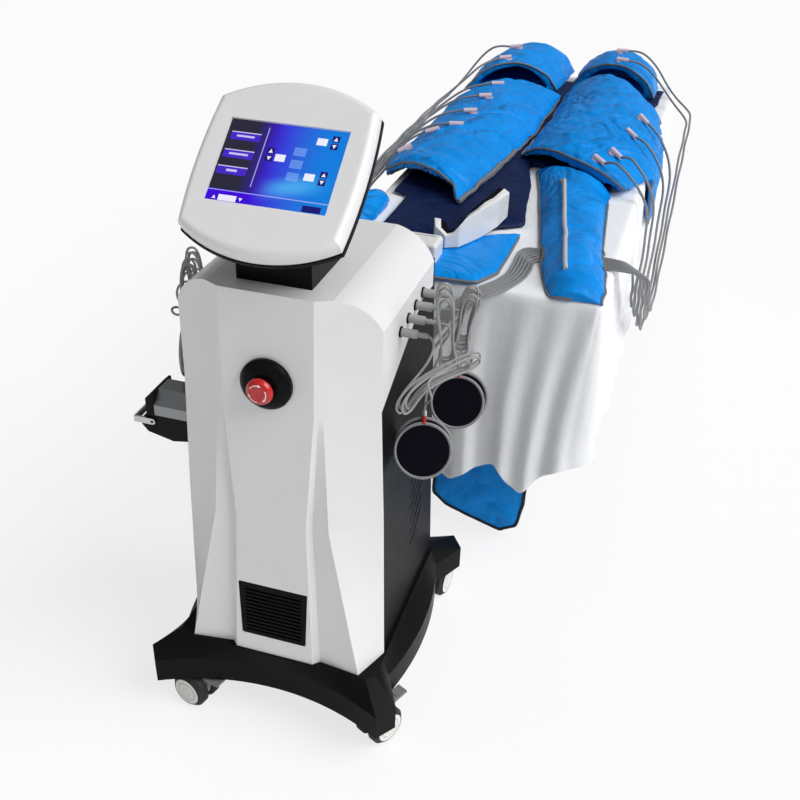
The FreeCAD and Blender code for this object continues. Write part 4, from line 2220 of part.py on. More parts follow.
RIGHT_HOSES = {
    "right_0": {
        "nipple": 13,
        "points": [
            (406, 1160, 792), (438, 1140, 778), (470, 1124, 754), (498, 1114, 722), (518, 1108, 682),
            (522, 1086, 628), (526, 1058, 568), (522, 1020, 520), (526, 968, 494), (522, 912, 496),
            (526, 862, 522), (522, 818, 562), (526, 778, 610), (522, 746, 656), (523, 714, 682),
            (510, 703, 702), (484, 700, 708), (440, 701, 708), (365, 701, 707.4), (290, 700, 707.4),
            (266, 692, 707.4), (259, 666, 707.4), (262, 578, 707.4), (258, 530, 707.4),
            (241, 484, 708), (214, 446, 707), (184, 412, 694), (152, 382, 666), (120, 350, 628),
            (88, 318, 588), (52, 286, 556.5), (12, 256, 538.5),
        ],
    },
    "right_1": {
        "nipple": 14,
        "points": [
            (440, 1226, 789), (468, 1208, 770), (497, 1194, 740), (520, 1184, 702), (531, 1176, 660),
            (531, 1160, 600), (535, 1126, 536), (531, 1082, 484), (535, 1026, 452), (531, 964, 450),
            (535, 906, 474), (531, 856, 514), (535, 810, 562), (531, 768, 612), (535, 736, 656),
            (532, 703, 682), (519, 692, 702), (493, 689, 708), (449, 690, 708), (374, 690, 707.4),
            (298, 689, 707.4), (274, 681, 707.4), (267, 655, 707.4), (270, 578, 707.4),
            (266, 528, 707.4), (248, 480, 708), (220, 440, 707), (190, 406, 694), (159, 377, 666),
            (127, 346, 628), (96, 315, 588), (71, 284, 556.5), (40, 254, 538.5),
        ],
    },
    "right_2": {
        "nipple": 15,
        "points": [
            (460, 1398, 784), (488, 1380, 764), (514, 1365, 734), (534, 1352, 696), (542, 1338, 652),
            (540, 1308, 584), (544, 1270, 518), (540, 1226, 458), (544, 1172, 410), (540, 1108, 384),
            (544, 1040, 386), (540, 976, 414), (544, 920, 458), (540, 868, 508), (544, 818, 558),
            (540, 768, 606), (544, 728, 650), (541, 692, 682), (528, 681, 702), (502, 678, 708),
            (458, 679, 708), (382, 679, 707.4), (307, 678, 707.4), (283, 670, 707.4),
            (276, 644, 707.4), (279, 578, 707.4), (274, 527, 707.4), (255, 475, 708), (227, 435, 707),
            (197, 401, 694), (165, 372, 666), (134, 342, 628), (103, 311, 588), (90, 282, 556.5),
            (68, 252, 538.5),
        ],
    },
    "right_3": {
        "nipple": 16,
        "points": [
            (476, 1561, 773), (502, 1541, 750), (526, 1523, 718), (543, 1506, 680), (551, 1486, 638),
            (549, 1442, 578), (553, 1400, 518), (549, 1352, 460), (553, 1298, 408), (549, 1236, 368),
            (553, 1166, 346), (549, 1094, 350), (553, 1026, 378), (549, 964, 420), (553, 906, 468),
            (549, 852, 518), (553, 800, 566), (549, 752, 610), (553, 715, 650), (550, 681, 682),
            (537, 670, 702), (511, 667, 708), (467, 668, 708), (391, 668, 707.4), (315, 667, 707.4),
            (291, 659, 707.4), (284, 633, 707.4), (287, 578, 707.4), (282, 525, 707.4),
            (262, 471, 708), (233, 429, 707), (203, 395, 694), (172, 367, 666), (141, 337, 628),
            (111, 308, 588), (109, 280, 556.5), (96, 250, 538.5),
        ],
    },
    "right_4": {
        "nipple": 17,
        "points": [
            (368, 2107, 832), (406, 2100, 812), (442, 2088, 780), (478, 2070, 744), (512, 2044, 715),
            (543, 2006, 698), (560, 1952, 691), (558, 1860, 690), (562, 1766, 682), (558, 1672, 660),
            (562, 1582, 622), (558, 1498, 572), (562, 1414, 516), (558, 1338, 460), (562, 1260, 414),
            (558, 1176, 390), (562, 1090, 392), (558, 1010, 418), (562, 936, 458), (558, 868, 506),
            (562, 806, 556), (558, 750, 602), (562, 704, 648), (559, 670, 682), (546, 659, 702),
            (520, 656, 708), (476, 657, 708), (400, 657, 707.4), (324, 656, 707.4), (300, 648, 707.4),
            (293, 622, 707.4), (296, 578, 707.4), (291, 523, 707.4), (270, 466, 708), (239, 424, 707),
            (209, 390, 694), (179, 362, 666), (149, 333, 628), (118, 305, 588), (128, 278, 556.5),
            (118, 248, 538.5),
        ],
    },
    "right_5": {
        "nipple": 8,
        "points": [
            (352, 2234, 842), (392, 2228, 822), (430, 2216, 788), (464, 2198, 746), (502, 2170, 712),
            (538, 2128, 696), (564, 2068, 690), (567, 1976, 688), (571, 1878, 684), (567, 1782, 672),
            (571, 1690, 648), (567, 1602, 612), (571, 1518, 566), (567, 1438, 514), (571, 1358, 466),
            (567, 1272, 432), (571, 1182, 418), (567, 1094, 424), (571, 1010, 448), (567, 932, 484),
            (571, 860, 526), (567, 794, 570), (571, 736, 612), (567, 690, 652), (568, 659, 682),
            (555, 648, 702), (529, 645, 708), (485, 646, 708), (408, 646, 707.4), (332, 645, 707.4),
            (308, 637, 707.4), (301, 611, 707.4), (304, 578, 707.4), (299, 522, 707.4),
            (277, 462, 708), (246, 418, 707), (216, 384, 694), (186, 357, 658), (156, 329, 612),
            (126, 301, 564), (124, 276, 531.5), (118, 246, 516.5),
        ],
    },
}


def hose_route(name, plan):
    """Route of one hose from its coupler to its nipple."""
    x, z = nipple_places()[plan["nipple"]]
    end = V(x, val(REAR_INSIDE) + val("nipple_length"), z)
    return [coupler_end(name)[0]] + [V(*point) for point in plan["points"]] + [end]


def air_hoses(label, plans):
    """Air hoses of one side."""
    diameter = val("hose_diameter")
    tubes = [tube(name, hose_route(name, plan), diameter) for name, plan in plans.items()]
    formed(label, Part.makeCompound(tubes))


# Build every sub-part, check it and write it

def build_console():
    """Trolley, housing, controls, works and leads."""
    base_chassis()
    casters()
    front_shell()
    rear_cover()
    front_grille()
    emergency_stop()
    neck_bracket()
    tilt_pin()
    screen_head()
    air_pump()
    power_supply()
    valve_manifold()
    control_board()
    cooling_fan()
    power_inlet()
    rocker_switch()
    connector()
    jack_sockets()
    ems_plugs()
    ems_leads("ems_leads_right", 1, RIGHT_HANKS)
    ems_leads("ems_leads_left", -1, LEFT_HANKS)
    electrode_pads()


def build_suit():
    """Couch with its sheet, the suit laid out on it, and the hoses."""
    couch_top()
    couch_frame()
    couch_feet()
    couch_sheet()
    hanging_flap()
    suit_back()
    waist_belt()
    suit_left_front()
    suit_right_front()
    boot("boot_left", LEFT_BOOT_SHARES)
    boot("boot_right", RIGHT_BOOT_SHARES)
    sleeves()
    zip_pull()
    goggles()
    accessory_box()
    hose_couplers()
    air_hoses("air_hoses_left", LEFT_HOSES)
    air_hoses("air_hoses_right", RIGHT_HOSES)


build_console()
build_suit()
doc.recompute()
for item in doc.Objects:
    if "Invalid" in item.State or "Error" in item.State:
        raise RuntimeError(item.Label + " is in a bad state")
for piece in pieces:
    if piece.Shape.isNull() or not piece.Shape.isValid() or not piece.Shape.Solids:
        raise RuntimeError(piece.Label + " has no valid solid")
os.makedirs("parts", exist_ok=True)
for piece in pieces:
    piece.Shape.exportStep(f"parts/{piece.Label}.step")
print(f"{len(pieces)} sub-parts written")
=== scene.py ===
"""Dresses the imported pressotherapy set: console, couch with its sheet, suit, hoses and electrode leads."""

import json
import logging
import math
import operator
from dataclasses import dataclass, field
from enum import Enum
from functools import reduce
from typing import Any, Callable, ClassVar, Dict, Iterable, List, Mapping, Optional, Sequence, Tuple, Union

import bpy
import numpy as np
from mathutils import Matrix, Vector


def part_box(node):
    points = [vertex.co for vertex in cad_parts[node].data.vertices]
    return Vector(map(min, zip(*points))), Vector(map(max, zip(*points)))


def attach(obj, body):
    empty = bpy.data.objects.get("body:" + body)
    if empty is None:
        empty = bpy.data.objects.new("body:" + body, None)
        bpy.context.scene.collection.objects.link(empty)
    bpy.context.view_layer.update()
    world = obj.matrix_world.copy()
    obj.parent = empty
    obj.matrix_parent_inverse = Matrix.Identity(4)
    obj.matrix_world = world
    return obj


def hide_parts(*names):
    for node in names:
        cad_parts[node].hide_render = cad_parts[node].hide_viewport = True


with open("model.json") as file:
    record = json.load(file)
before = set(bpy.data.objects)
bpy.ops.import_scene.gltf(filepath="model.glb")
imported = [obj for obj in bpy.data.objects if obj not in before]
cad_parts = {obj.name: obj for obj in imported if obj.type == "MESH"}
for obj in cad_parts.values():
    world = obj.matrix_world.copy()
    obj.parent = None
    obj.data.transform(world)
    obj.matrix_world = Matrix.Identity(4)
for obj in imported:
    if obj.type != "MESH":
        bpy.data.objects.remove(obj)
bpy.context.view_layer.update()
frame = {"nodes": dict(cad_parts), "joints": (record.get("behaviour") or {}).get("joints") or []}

log = logging.getLogger("pressotherapy set")
MM = 0.001
Piece = bpy.types.Object
Point = Tuple[float, float, float]
Rect = Tuple[float, float, float, float]
Colour = Tuple[float, float, float]
Term = Union["Value", float, Sequence[float]]

# Routes of the hoses and leads, in millimetres, each with its length in metres. Left hoses lie in lanes of
# two, one over the other. The right hoses' shared way gives x and its step from lane to lane, y and its step,
# and z.

LEFT_LANE = -225
LEFT_LANE_STEP = -10
LEFT_WAVE = -6
LEVEL_STEP = -11
LEFT_RUN = (
    (1950, 702), (1850, 704), (1750, 706), (1650, 706), (1550, 706), (1450, 707), (1350, 705), (1250, 703),
    (1150, 701), (1050, 695), (950, 686), (850, 677), (750, 664), (650, 650), (560, 634), (490, 613),
)
LEFT_TURNS = (
    ((-215, 430), (-183, 378), (-138, 350), (-90, 332), (-48, 302), (-30, 260), (-28, 215)),
    ((-227, 416), (-193, 364), (-148, 336), (-106, 318), (-74, 290), (-58, 254), (-56, 215)),
    ((-239, 402), (-203, 350), (-158, 322), (-122, 302), (-99, 278), (-85, 248), (-84, 215)),
    ((-251, 388), (-213, 338), (-168, 310), (-136, 290), (-120, 266), (-113, 242), (-112, 215)),
)
TURN_HEIGHTS = ((592, 572, 558, 548, 540, 534, 532.5), (579, 558, 543, 531, 521, 515, 513.5))
LEFT_STARTS: List[Tuple[float, List[Point]]] = [
    (1.055, [(-180.7, 1119.7, 756.8), (-203, 1111, 744), (-222, 1090, 718)]),
    (1.223, [(-141.5, 1256.8, 777.8), (-172, 1248, 764), (-203, 1230, 738), (-222, 1200, 709)]),
    (1.301, [
        (-82.5, 1297, 796.8), (-112, 1294, 794), (-145, 1288, 783), (-180, 1276, 764), (-212, 1256, 736),
        (-232, 1218, 713),
    ]),
    (1.450, [
        (-77.2, 1444.1, 796.2), (-107, 1437, 792), (-140, 1428, 782), (-176, 1415, 762), (-208, 1396, 734),
        (-230, 1362, 710), (-237, 1312, 696),
    ]),
    (1.622, [
        (-72.2, 1621.1, 796.4), (-102, 1614, 792), (-136, 1606, 782), (-173, 1594, 762), (-207, 1577, 735),
        (-236, 1548, 714), (-246, 1503, 708),
    ]),
    (1.783, [
        (-67.1, 1775.1, 797), (-97, 1768, 793), (-131, 1759, 783), (-168, 1747, 763), (-203, 1730, 736),
        (-234, 1702, 711), (-246, 1650, 697),
    ]),
    (1.949, [
        (-89.9, 1979.1, 831), (-132, 1926, 822), (-172, 1888, 782), (-208, 1862, 748), (-236, 1846, 722),
        (-252, 1826, 710), (-257, 1800, 705),
    ]),
    (2.169, [
        (-88.3, 2147.4, 832.1), (-130, 2141, 836), (-170, 2133, 810), (-203, 2120, 768), (-228, 2100, 730),
        (-246, 2056, 704), (-257, 2000, 692),
    ]),
]
RIGHT_LANE = 522
RIGHT_LANE_STEP = 9
RIGHT_WAVE = 4
RIGHT_WAY = (
    (523, 9, 714, -11, 682), (510, 9, 703, -11, 702), (484, 9, 700, -11, 708), (440, 9, 701, -11, 708),
    (365.2, 8.6, 701, -11, 707.4), (290, 8.4, 700, -11, 707.4), (266, 8.4, 692, -11, 707.4),
    (259, 8.4, 666, -11, 707.4), (262, 8.4, 578, 0, 707.4), (257.8, 8.2, 530, -1.65, 707.4),
    (240.8, 7.2, 484, -4.4, 708), (213.8, 6.4, 446, -5.6, 707), (183.8, 6.4, 412, -5.6, 694),
)
RIGHT_STARTS: List[Tuple[float, List[Point], List[Tuple[float, float]], List[Point]]] = [
    (1.673, [
        (381.5, 1178.8, 775.3), (406, 1160, 792), (438, 1140, 778), (470, 1124, 754), (498, 1114, 722),
        (518, 1108, 682),
    ], [
        (1086, 628), (1058, 568), (1020, 520), (968, 494), (912, 496), (862, 522), (818, 562), (778, 610),
        (746, 656),
    ], [
        (152, 382, 666), (120, 350, 628), (88, 318, 588), (52, 286, 556.5), (12, 256, 538.5),
        (0, 215, 532.5),
    ]),
    (1.758, [
        (417.7, 1244.7, 775.4), (440, 1226, 789), (468, 1208, 770), (497, 1194, 740), (520, 1184, 702),
        (531, 1176, 660),
    ], [
        (1160, 600), (1126, 536), (1082, 484), (1026, 452), (964, 450), (906, 474), (856, 514), (810, 562),
        (768, 612), (736, 656),
    ], [
        (159, 377, 666), (127, 346, 628), (96, 315, 588), (71, 284, 556.5), (40, 254, 538.5),
        (28, 215, 532.5),
    ]),
    (1.949, [
        (437.8, 1416.9, 784), (460, 1398, 784), (488, 1380, 764), (514, 1365, 734), (534, 1352, 696),
        (542, 1338, 652),
    ], [
        (1308, 584), (1270, 518), (1226, 458), (1172, 410), (1108, 384), (1040, 386), (976, 414),
        (920, 458), (868, 508), (818, 558), (768, 606), (728, 650),
    ], [
        (165, 372, 666), (134, 342, 628), (103, 311, 588), (90, 282, 556.5), (68, 252, 538.5),
        (56, 215, 532.5),
    ]),
    (2.095, [
        (455.4, 1580.4, 780.4), (476, 1561, 773), (502, 1541, 750), (526, 1523, 718), (543, 1506, 680),
        (551, 1486, 638),
    ], [
        (1442, 578), (1400, 518), (1352, 460), (1298, 408), (1236, 368), (1166, 346), (1094, 350),
        (1026, 378), (964, 420), (906, 468), (852, 518), (800, 566), (752, 610), (715, 650),
    ], [
        (172, 367, 666), (141, 337, 628), (111, 308, 588), (109, 280, 556.5), (96, 250, 538.5),
        (84, 215, 532.5),
    ]),
    (2.624, [
        (330.4, 2108.1, 834.8), (368, 2107, 832), (406, 2100, 812), (442, 2088, 780), (478, 2070, 744),
        (512, 2044, 715), (543, 2006, 698), (560, 1952, 691),
    ], [
        (1860, 690), (1766, 682), (1672, 660), (1582, 622), (1498, 572), (1414, 516), (1338, 460),
        (1260, 414), (1176, 390), (1090, 392), (1010, 418), (936, 458), (868, 506), (806, 556), (750, 602),
        (704, 648),
    ], [
        (179, 362, 666), (149, 333, 628), (118, 305, 588), (128, 278, 556.5), (118, 248, 538.5),
        (112, 215, 532.5),
    ]),
    (2.748, [
        (314.6, 2231.1, 838.7), (352, 2234, 842), (392, 2228, 822), (430, 2216, 788), (464, 2198, 746),
        (502, 2170, 712), (538, 2128, 696), (564, 2068, 690),
    ], [
        (1976, 688), (1878, 684), (1782, 672), (1690, 648), (1602, 612), (1518, 566), (1438, 514),
        (1358, 466), (1272, 432), (1182, 418), (1094, 424), (1010, 448), (932, 484), (860, 526), (794, 570),
        (736, 612), (690, 652),
    ], [
        (186, 357, 658), (156, 329, 612), (126, 301, 564), (124, 276, 531.5), (118, 246, 516.5),
        (112, 215, 513.5),
    ]),
]


def left_route(number: int, start: List[Point]) -> List[Point]:
    """Route of a left hose, which waves along the couch and then turns to its outlet.

    Args:
        number: the hose's number; each lane holds two, one over the other.
        start: its own way from the coupler to the lane.

    Returns:
        All its points.
    """
    lane, level = divmod(number, 2)
    aside = LEFT_LANE + LEFT_LANE_STEP * lane
    run = [(aside + LEFT_WAVE * (place % 2), y, z + LEVEL_STEP * level)
           for place, (y, z) in enumerate(LEFT_RUN) if y < start[-1][1]]
    return start + run + [(*spot, z) for spot, z in zip(LEFT_TURNS[lane], TURN_HEIGHTS[level])]


def right_route(lane: int, start: List[Point], loop: List[Tuple[float, float]],
                end: List[Point]) -> List[Point]:
    """Route of a right hose, which sags beside the couch and then goes below the sleeve.

    Args:
        lane: its number, from the couch outwards.
        start: its own way from the coupler over the couch's edge.
        loop: depth and height of the places where it sags.
        end: its own way down to its outlet.

    Returns:
        All its points.
    """
    aside = RIGHT_LANE + RIGHT_LANE_STEP * lane
    sag = [(aside + RIGHT_WAVE * (place % 2), y, z) for place, (y, z) in enumerate(loop)]
    way = [(round(x + x_step * lane), round(y + y_step * lane), z) for x, x_step, y, y_step, z in RIGHT_WAY]
    return start + sag + way + end


HOSES: Dict[str, Tuple[float, List[Point]]] = {
    **{f"left_{number}": (length, left_route(number, start))
       for number, (length, start) in enumerate(LEFT_STARTS)},
    **{f"right_{lane}": (length, right_route(lane, *ways))
       for lane, (length, *ways) in enumerate(RIGHT_STARTS)},
}

HANK_SHARES = (0.0, 0.14, -0.12, 0.06)
HANK_WAIST = 8.0
HANK_STEP = 6.5
VIEW_SIDE = (0.28, -0.96, 0.0)


def hank(tie: Point, first: Point, last: Point, bend: float) -> List[Point]:
    """Loops of a lead, each turning at the first end, passing the tie and turning at the last end.

    Args:
        tie: where the loops are drawn together.
        first: middle of the first end.
        last: middle of the last end.
        bend: half the width of the loops at their ends.

    Returns:
        The points of all the loops.
    """
    knot, near_end, far_end = (np.array(spot, float) for spot in (tie, first, last))
    axis = (near_end - far_end) / np.linalg.norm(near_end - far_end)
    across = np.cross(axis, VIEW_SIDE)
    across /= np.linalg.norm(across)
    stack = np.cross(across, axis)
    side = across * HANK_WAIST
    loops = len(HANK_SHARES)
    points = []
    for index, share in enumerate(HANK_SHARES):
        shift = stack * (HANK_STEP * (index - (loops - 1) / 2))
        wide = across * (bend * (1 + share))
        near = near_end + axis * (np.linalg.norm(near_end - knot) * share) + shift
        far = far_end - axis * (np.linalg.norm(far_end - knot) * share) + shift
        points += [knot + side + shift, near + wide, near - wide, knot - side + shift, far - wide,
                   far + wide + stack * (HANK_STEP / 2)]
    points.append(knot + side + stack * (HANK_STEP * (loops + 1) / 2))
    return [tuple(np.round(point, 1).tolist()) for point in points]


LEADS: Dict[str, Tuple[float, List[Point]]] = {
    "right_0": (1.699, [
        (237, -58, 842), (247, -60, 839), (250, -68, 822), (242, -80, 800),
        *hank((240, -95, 776), (215, -131, 733), (312, -22, 792), 14),
        (260, -114, 764), (258, -94, 738), (240, -56, 710), (229.1, -31.4, 684.8), (231, -37.9, 666.1),
    ]),
    "right_1": (1.812, [
        (237, -13, 847), (251, -12, 848), (264, -14, 843), (266, -20, 832),
        *hank((266, -36, 818), (262, -16, 775), (265, -78, 941), 16),
        (254, -58, 798), (246, -52, 768), (239, -40, 738), (230, -18, 712), (226.7, -21.3, 689.8),
        (228.6, -27.8, 671),
    ]),
    "right_2": (1.666, [
        (237, 32, 852), (251, 34, 853), (262, 46, 849), (266, 62, 834),
        *hank((272, 50, 808), (268, 62, 762), (291, 14, 903), 15),
        (262, 30, 782), (255, 36, 752), (250, 62, 726), (248, 104, 712), (246, 142, 712),
        (245.1, 158.6, 682.8), (247, 152.1, 664.1),
    ]),
    "right_3": (1.329, [
        (237, 77, 857), (250, 80, 857), (254, 98, 853), (254, 122, 840), (252, 134, 818),
        *hank((262, 118, 795), (258, 124, 748), (280, 100, 858), 13),
        (252, 92, 772), (242, 100, 746), (238, 132, 724), (243, 160, 714), (249.7, 168.7, 688.8),
        (251.6, 162.2, 670),
    ]),
    "left_1": (1.901, [
        (-237, -13, 847), (-250, -14, 847), (-258, -26, 838), (-252, -42, 827), (-238, -52, 818),
        *hank((-216, -66, 812), (-212, -94, 712), (-213, -58, 902), 14),
        (-232, -90, 815), (-246, -78, 818), (-251, -54, 812), (-249.1, -29.2, 797), (-249.1, -29.2, 777),
    ]),
    "left_2": (1.523, [
        (-237, 32, 852), (-250, 33, 852), (-260, 29, 844), (-258, 25, 832), (-254, 23, 822),
        *hank((-232, 9, 816), (-216, -2, 738), (-244, 14, 892), 13.5),
        (-244, -16, 813), (-240.5, -20.6, 803), (-240.5, -20.6, 783),
    ]),
}


class Value:
    """A socket of a material's node tree; sums of values add their Math nodes."""

    def __init__(self, graph: "Graph", socket: bpy.types.NodeSocket) -> None:
        """Keeps the socket and the graph that it belongs to."""
        self.graph = graph
        self.socket = socket

    def math(self, operation: str, first: Term, second: Term = 0.0) -> "Value":
        """Adds one Math node.

        Args:
            operation: name of the Math node's operation.
            first: first operand.
            second: second operand.

        Returns:
            The node's result.
        """
        return self.graph.node("ShaderNodeMath", {"operation": operation}, {0: first, 1: second})

    def __add__(self, other: Term) -> "Value":
        """Sum."""
        return self.math("ADD", self, other)

    __radd__ = __add__

    def __sub__(self, other: Term) -> "Value":
        """Difference."""
        return self.math("SUBTRACT", self, other)

    def __rsub__(self, other: Term) -> "Value":
        """Difference from a number."""
        return self.math("SUBTRACT", other, self)

    def __mul__(self, other: Term) -> "Value":
        """Product."""
        return self.math("MULTIPLY", self, other)

    __rmul__ = __mul__

    def __truediv__(self, other: Term) -> "Value":
        """Quotient."""
        return self.math("DIVIDE", self, other)

    def __pow__(self, other: Term) -> "Value":
        """Power."""
        return self.math("POWER", self, other)

    def __abs__(self) -> "Value":
        """Size without sign."""
        return self.math("ABSOLUTE", self)

    def __lt__(self, other: Term) -> "Value":
        """One where this value is the smaller, else zero."""
        return self.math("LESS_THAN", self, other)

    def __gt__(self, other: Term) -> "Value":
        """One where this value is the larger, else zero."""
        return self.math("GREATER_THAN", self, other)

    def __mod__(self, other: Term) -> "Value":
        """Remainder, never negative."""
        return self.math("FLOORED_MODULO", self, other)

    def sine(self) -> "Value":
        """Sine."""
        return self.math("SINE", self)

    def larger(self, other: Term) -> "Value":
        """The larger of two values."""
        return self.math("MAXIMUM", self, other)

    def smaller(self, other: Term) -> "Value":
        """The smaller of two values."""
        return self.math("MINIMUM", self, other)

    def ramp(self, low: float, high: float) -> "Value":
        """Smooth rise from zero at low to one at high."""
        return self.graph.node("ShaderNodeMapRange", {"interpolation_type": "SMOOTHSTEP"},
                               {"Value": self, "From Min": low, "From Max": high})


class Graph:
    """Node tree of one material."""

    def __init__(self, name: str) -> None:
        """Starts a material with one principled shader."""
        self.material = bpy.data.materials.new(name)
        self.material.use_nodes = True
        self.tree = self.material.node_tree
        self.shader = next(node for node in self.tree.nodes if node.type == "BSDF_PRINCIPLED")

    def node(self, kind: str, settings: Mapping[str, Any], inputs: Mapping[Union[int, str], Term],
             output: Union[int, str] = 0) -> Value:
        """Adds any node.

        Args:
            kind: the node's type.
            settings: attributes that are set first; "stops" fills a ramp.
            inputs: numbers or values for its sockets, by index or name.
            output: which of its results is wanted.

        Returns:
            That result.
        """
        made = self.tree.nodes.new(kind)
        for key, setting in settings.items():
            if key == "stops":
                while len(made.color_ramp.elements) < len(setting):
                    made.color_ramp.elements.new(0.5)
                for element, (place, colour) in zip(made.color_ramp.elements, setting):
                    element.position = place
                    element.color = (*colour, 1.0)
            else:
                setattr(made, key, setting)
        for key, term in inputs.items():
            self.feed(made.inputs[key], term)
        return Value(self, made.outputs[output])

    def feed(self, socket: bpy.types.NodeSocket, term: Term) -> None:
        """Links a value to a socket, or sets the socket's own number or colour."""
        if isinstance(term, Value):
            self.tree.links.new(term.socket, socket)
        elif isinstance(term, (int, float)):
            socket.default_value = term
        else:
            parts = tuple(term)
            wide = len(getattr(socket, "default_value"))
            socket.default_value = parts if len(parts) == wide else (*parts, 1.0)

    def set(self, **sockets: Term) -> None:
        """Sets the shader's sockets; an underscore in a name stands for a space."""
        for key, term in sockets.items():
            self.feed(self.shader.inputs[key.replace("_", " ")], term)

    def place(self) -> Value:
        """Object coordinates, in metres."""
        return self.node("ShaderNodeTexCoord", {}, {}, "Object")

    def axis(self, letter: str) -> Value:
        """One object coordinate."""
        return self.node("ShaderNodeSeparateXYZ", {}, {0: self.place()}, letter)

    def vector(self, operation: str, first: Term, second: Term = (0.0, 0.0, 0.0), output: int = 0) -> Value:
        """Result of one Vector Math node."""
        return self.node("ShaderNodeVectorMath", {"operation": operation}, {0: first, 1: second}, output)

    def along(self, origin: Sequence[float], direction: Sequence[float]) -> Value:
        """Distance from a point along a direction.

        Args:
            origin: point where the distance is zero.
            direction: unit vector.

        Returns:
            The signed distance in metres.
        """
        shifted = self.vector("SUBTRACT", self.place(), tuple(origin))
        return self.vector("DOT_PRODUCT", shifted, tuple(direction), 1)

    def noise(self, scale: float, detail: float = 3.0, rough: float = 0.5, warp: float = 0.0,
              stretch: Sequence[float] = (1.0, 1.0, 1.0)) -> Value:
        """Cloudy pattern over the object's own coordinates.

        Args:
            scale: features to a metre.
            detail: octaves.
            rough: weight of the fine octaves.
            warp: distortion.
            stretch: scale along each axis.

        Returns:
            A value from zero to one.
        """
        where = self.node("ShaderNodeMapping", {}, {"Vector": self.place(), "Scale": tuple(stretch)})
        return self.node("ShaderNodeTexNoise", {}, {"Vector": where, "Scale": scale, "Detail": detail,
                                                    "Roughness": rough, "Distortion": warp})

    def mix(self, share: Term, first: Term, second: Term) -> Value:
        """Colour between two colours."""
        return self.node("ShaderNodeMix", {"data_type": "RGBA"}, {0: share, 6: first, 7: second}, 2)

    def shade(self, colour: Colour, share: Value, depth: float) -> Value:
        """A colour that a pattern darkens and lightens a little."""
        dark = tuple(part * (1 - depth) for part in colour)
        light = tuple(min(1.0, part * (1 + depth)) for part in colour)
        return self.mix(share, dark, light)

    def bump(self, height: Value, strength: float, depth: float, under: Optional[Value] = None) -> Value:
        """Surface normal tilted by a height.

        Args:
            height: the height, as a share of the depth.
            strength: how much of it shows.
            depth: the height of one, in metres.
            under: another bump that this one lies on.

        Returns:
            The normal.
        """
        inputs: Dict[Union[int, str], Term] = {"Height": height, "Strength": strength, "Distance": depth}
        if under is not None:
            inputs["Normal"] = under
        return self.node("ShaderNodeBump", {}, inputs)


def total(values: Iterable[Value]) -> Value:
    """Sum of several values."""
    return reduce(operator.add, values)


@dataclass(frozen=True)
class Finish:
    """A finish that becomes one material."""

    name: str
    colour: Colour

    def paint(self, graph: Graph) -> None:
        """Fills in the node tree."""
        raise NotImplementedError

    def material(self) -> bpy.types.Material:
        """The finish as a Blender material, made once."""
        found = bpy.data.materials.get(self.name)
        if found is None:
            graph = Graph(self.name)
            self.paint(graph)
            found = graph.material
            found.diffuse_color = (*self.colour, 1.0)
        return found


@dataclass(frozen=True)
class Moulding(Finish):
    """Moulded plastic or paint with a fine grain and faint shading."""

    rough: float = 0.4
    grain: float = 900.0
    relief: float = 0.15
    coat: float = 0.0
    gloss: float = 0.4

    def paint(self, graph: Graph) -> None:
        """Faint clouds in the colour, a fine grain and slight handling marks."""
        clouds = graph.noise(7.0, 4.0)
        marks = graph.noise(38.0, 5.0, 0.6)
        graph.set(Base_Color=graph.shade(self.colour, clouds, 0.035),
                  Roughness=self.rough + (marks - 0.5) * 0.12,
                  Coat_Weight=self.coat, Coat_Roughness=0.12, Specular_IOR_Level=self.gloss,
                  Normal=graph.bump(graph.noise(self.grain, 2.0), self.relief, 0.0003))


@dataclass(frozen=True)
class Metal(Finish):
    """Bare or cast metal, brushed along one axis."""

    rough: float = 0.3
    stretch: Tuple[float, float, float] = (1.0, 12.0, 12.0)

    def paint(self, graph: Graph) -> None:
        """Brush lines in roughness and relief."""
        lines = graph.noise(160.0, 4.0, 0.6, 0.0, self.stretch)
        graph.set(Base_Color=graph.shade(self.colour, graph.noise(14.0), 0.05), Metallic=1.0,
                  Roughness=self.rough + (lines - 0.5) * 0.22,
                  Normal=graph.bump(lines, 0.12, 0.0003))


@dataclass(frozen=True)
class Rubber(Finish):
    """Matt rubber or soft vinyl with dust in its pores."""

    rough: float = 0.62
    gloss: float = 0.3

    def paint(self, graph: Graph) -> None:
        """Soft specks in the colour and a fine skin."""
        specks = graph.noise(120.0, 4.0, 0.6)
        graph.set(Base_Color=graph.shade(self.colour, specks, 0.1),
                  Roughness=self.rough + (specks - 0.5) * 0.2, Specular_IOR_Level=self.gloss,
                  Normal=graph.bump(graph.noise(700.0), 0.2, 0.0003))


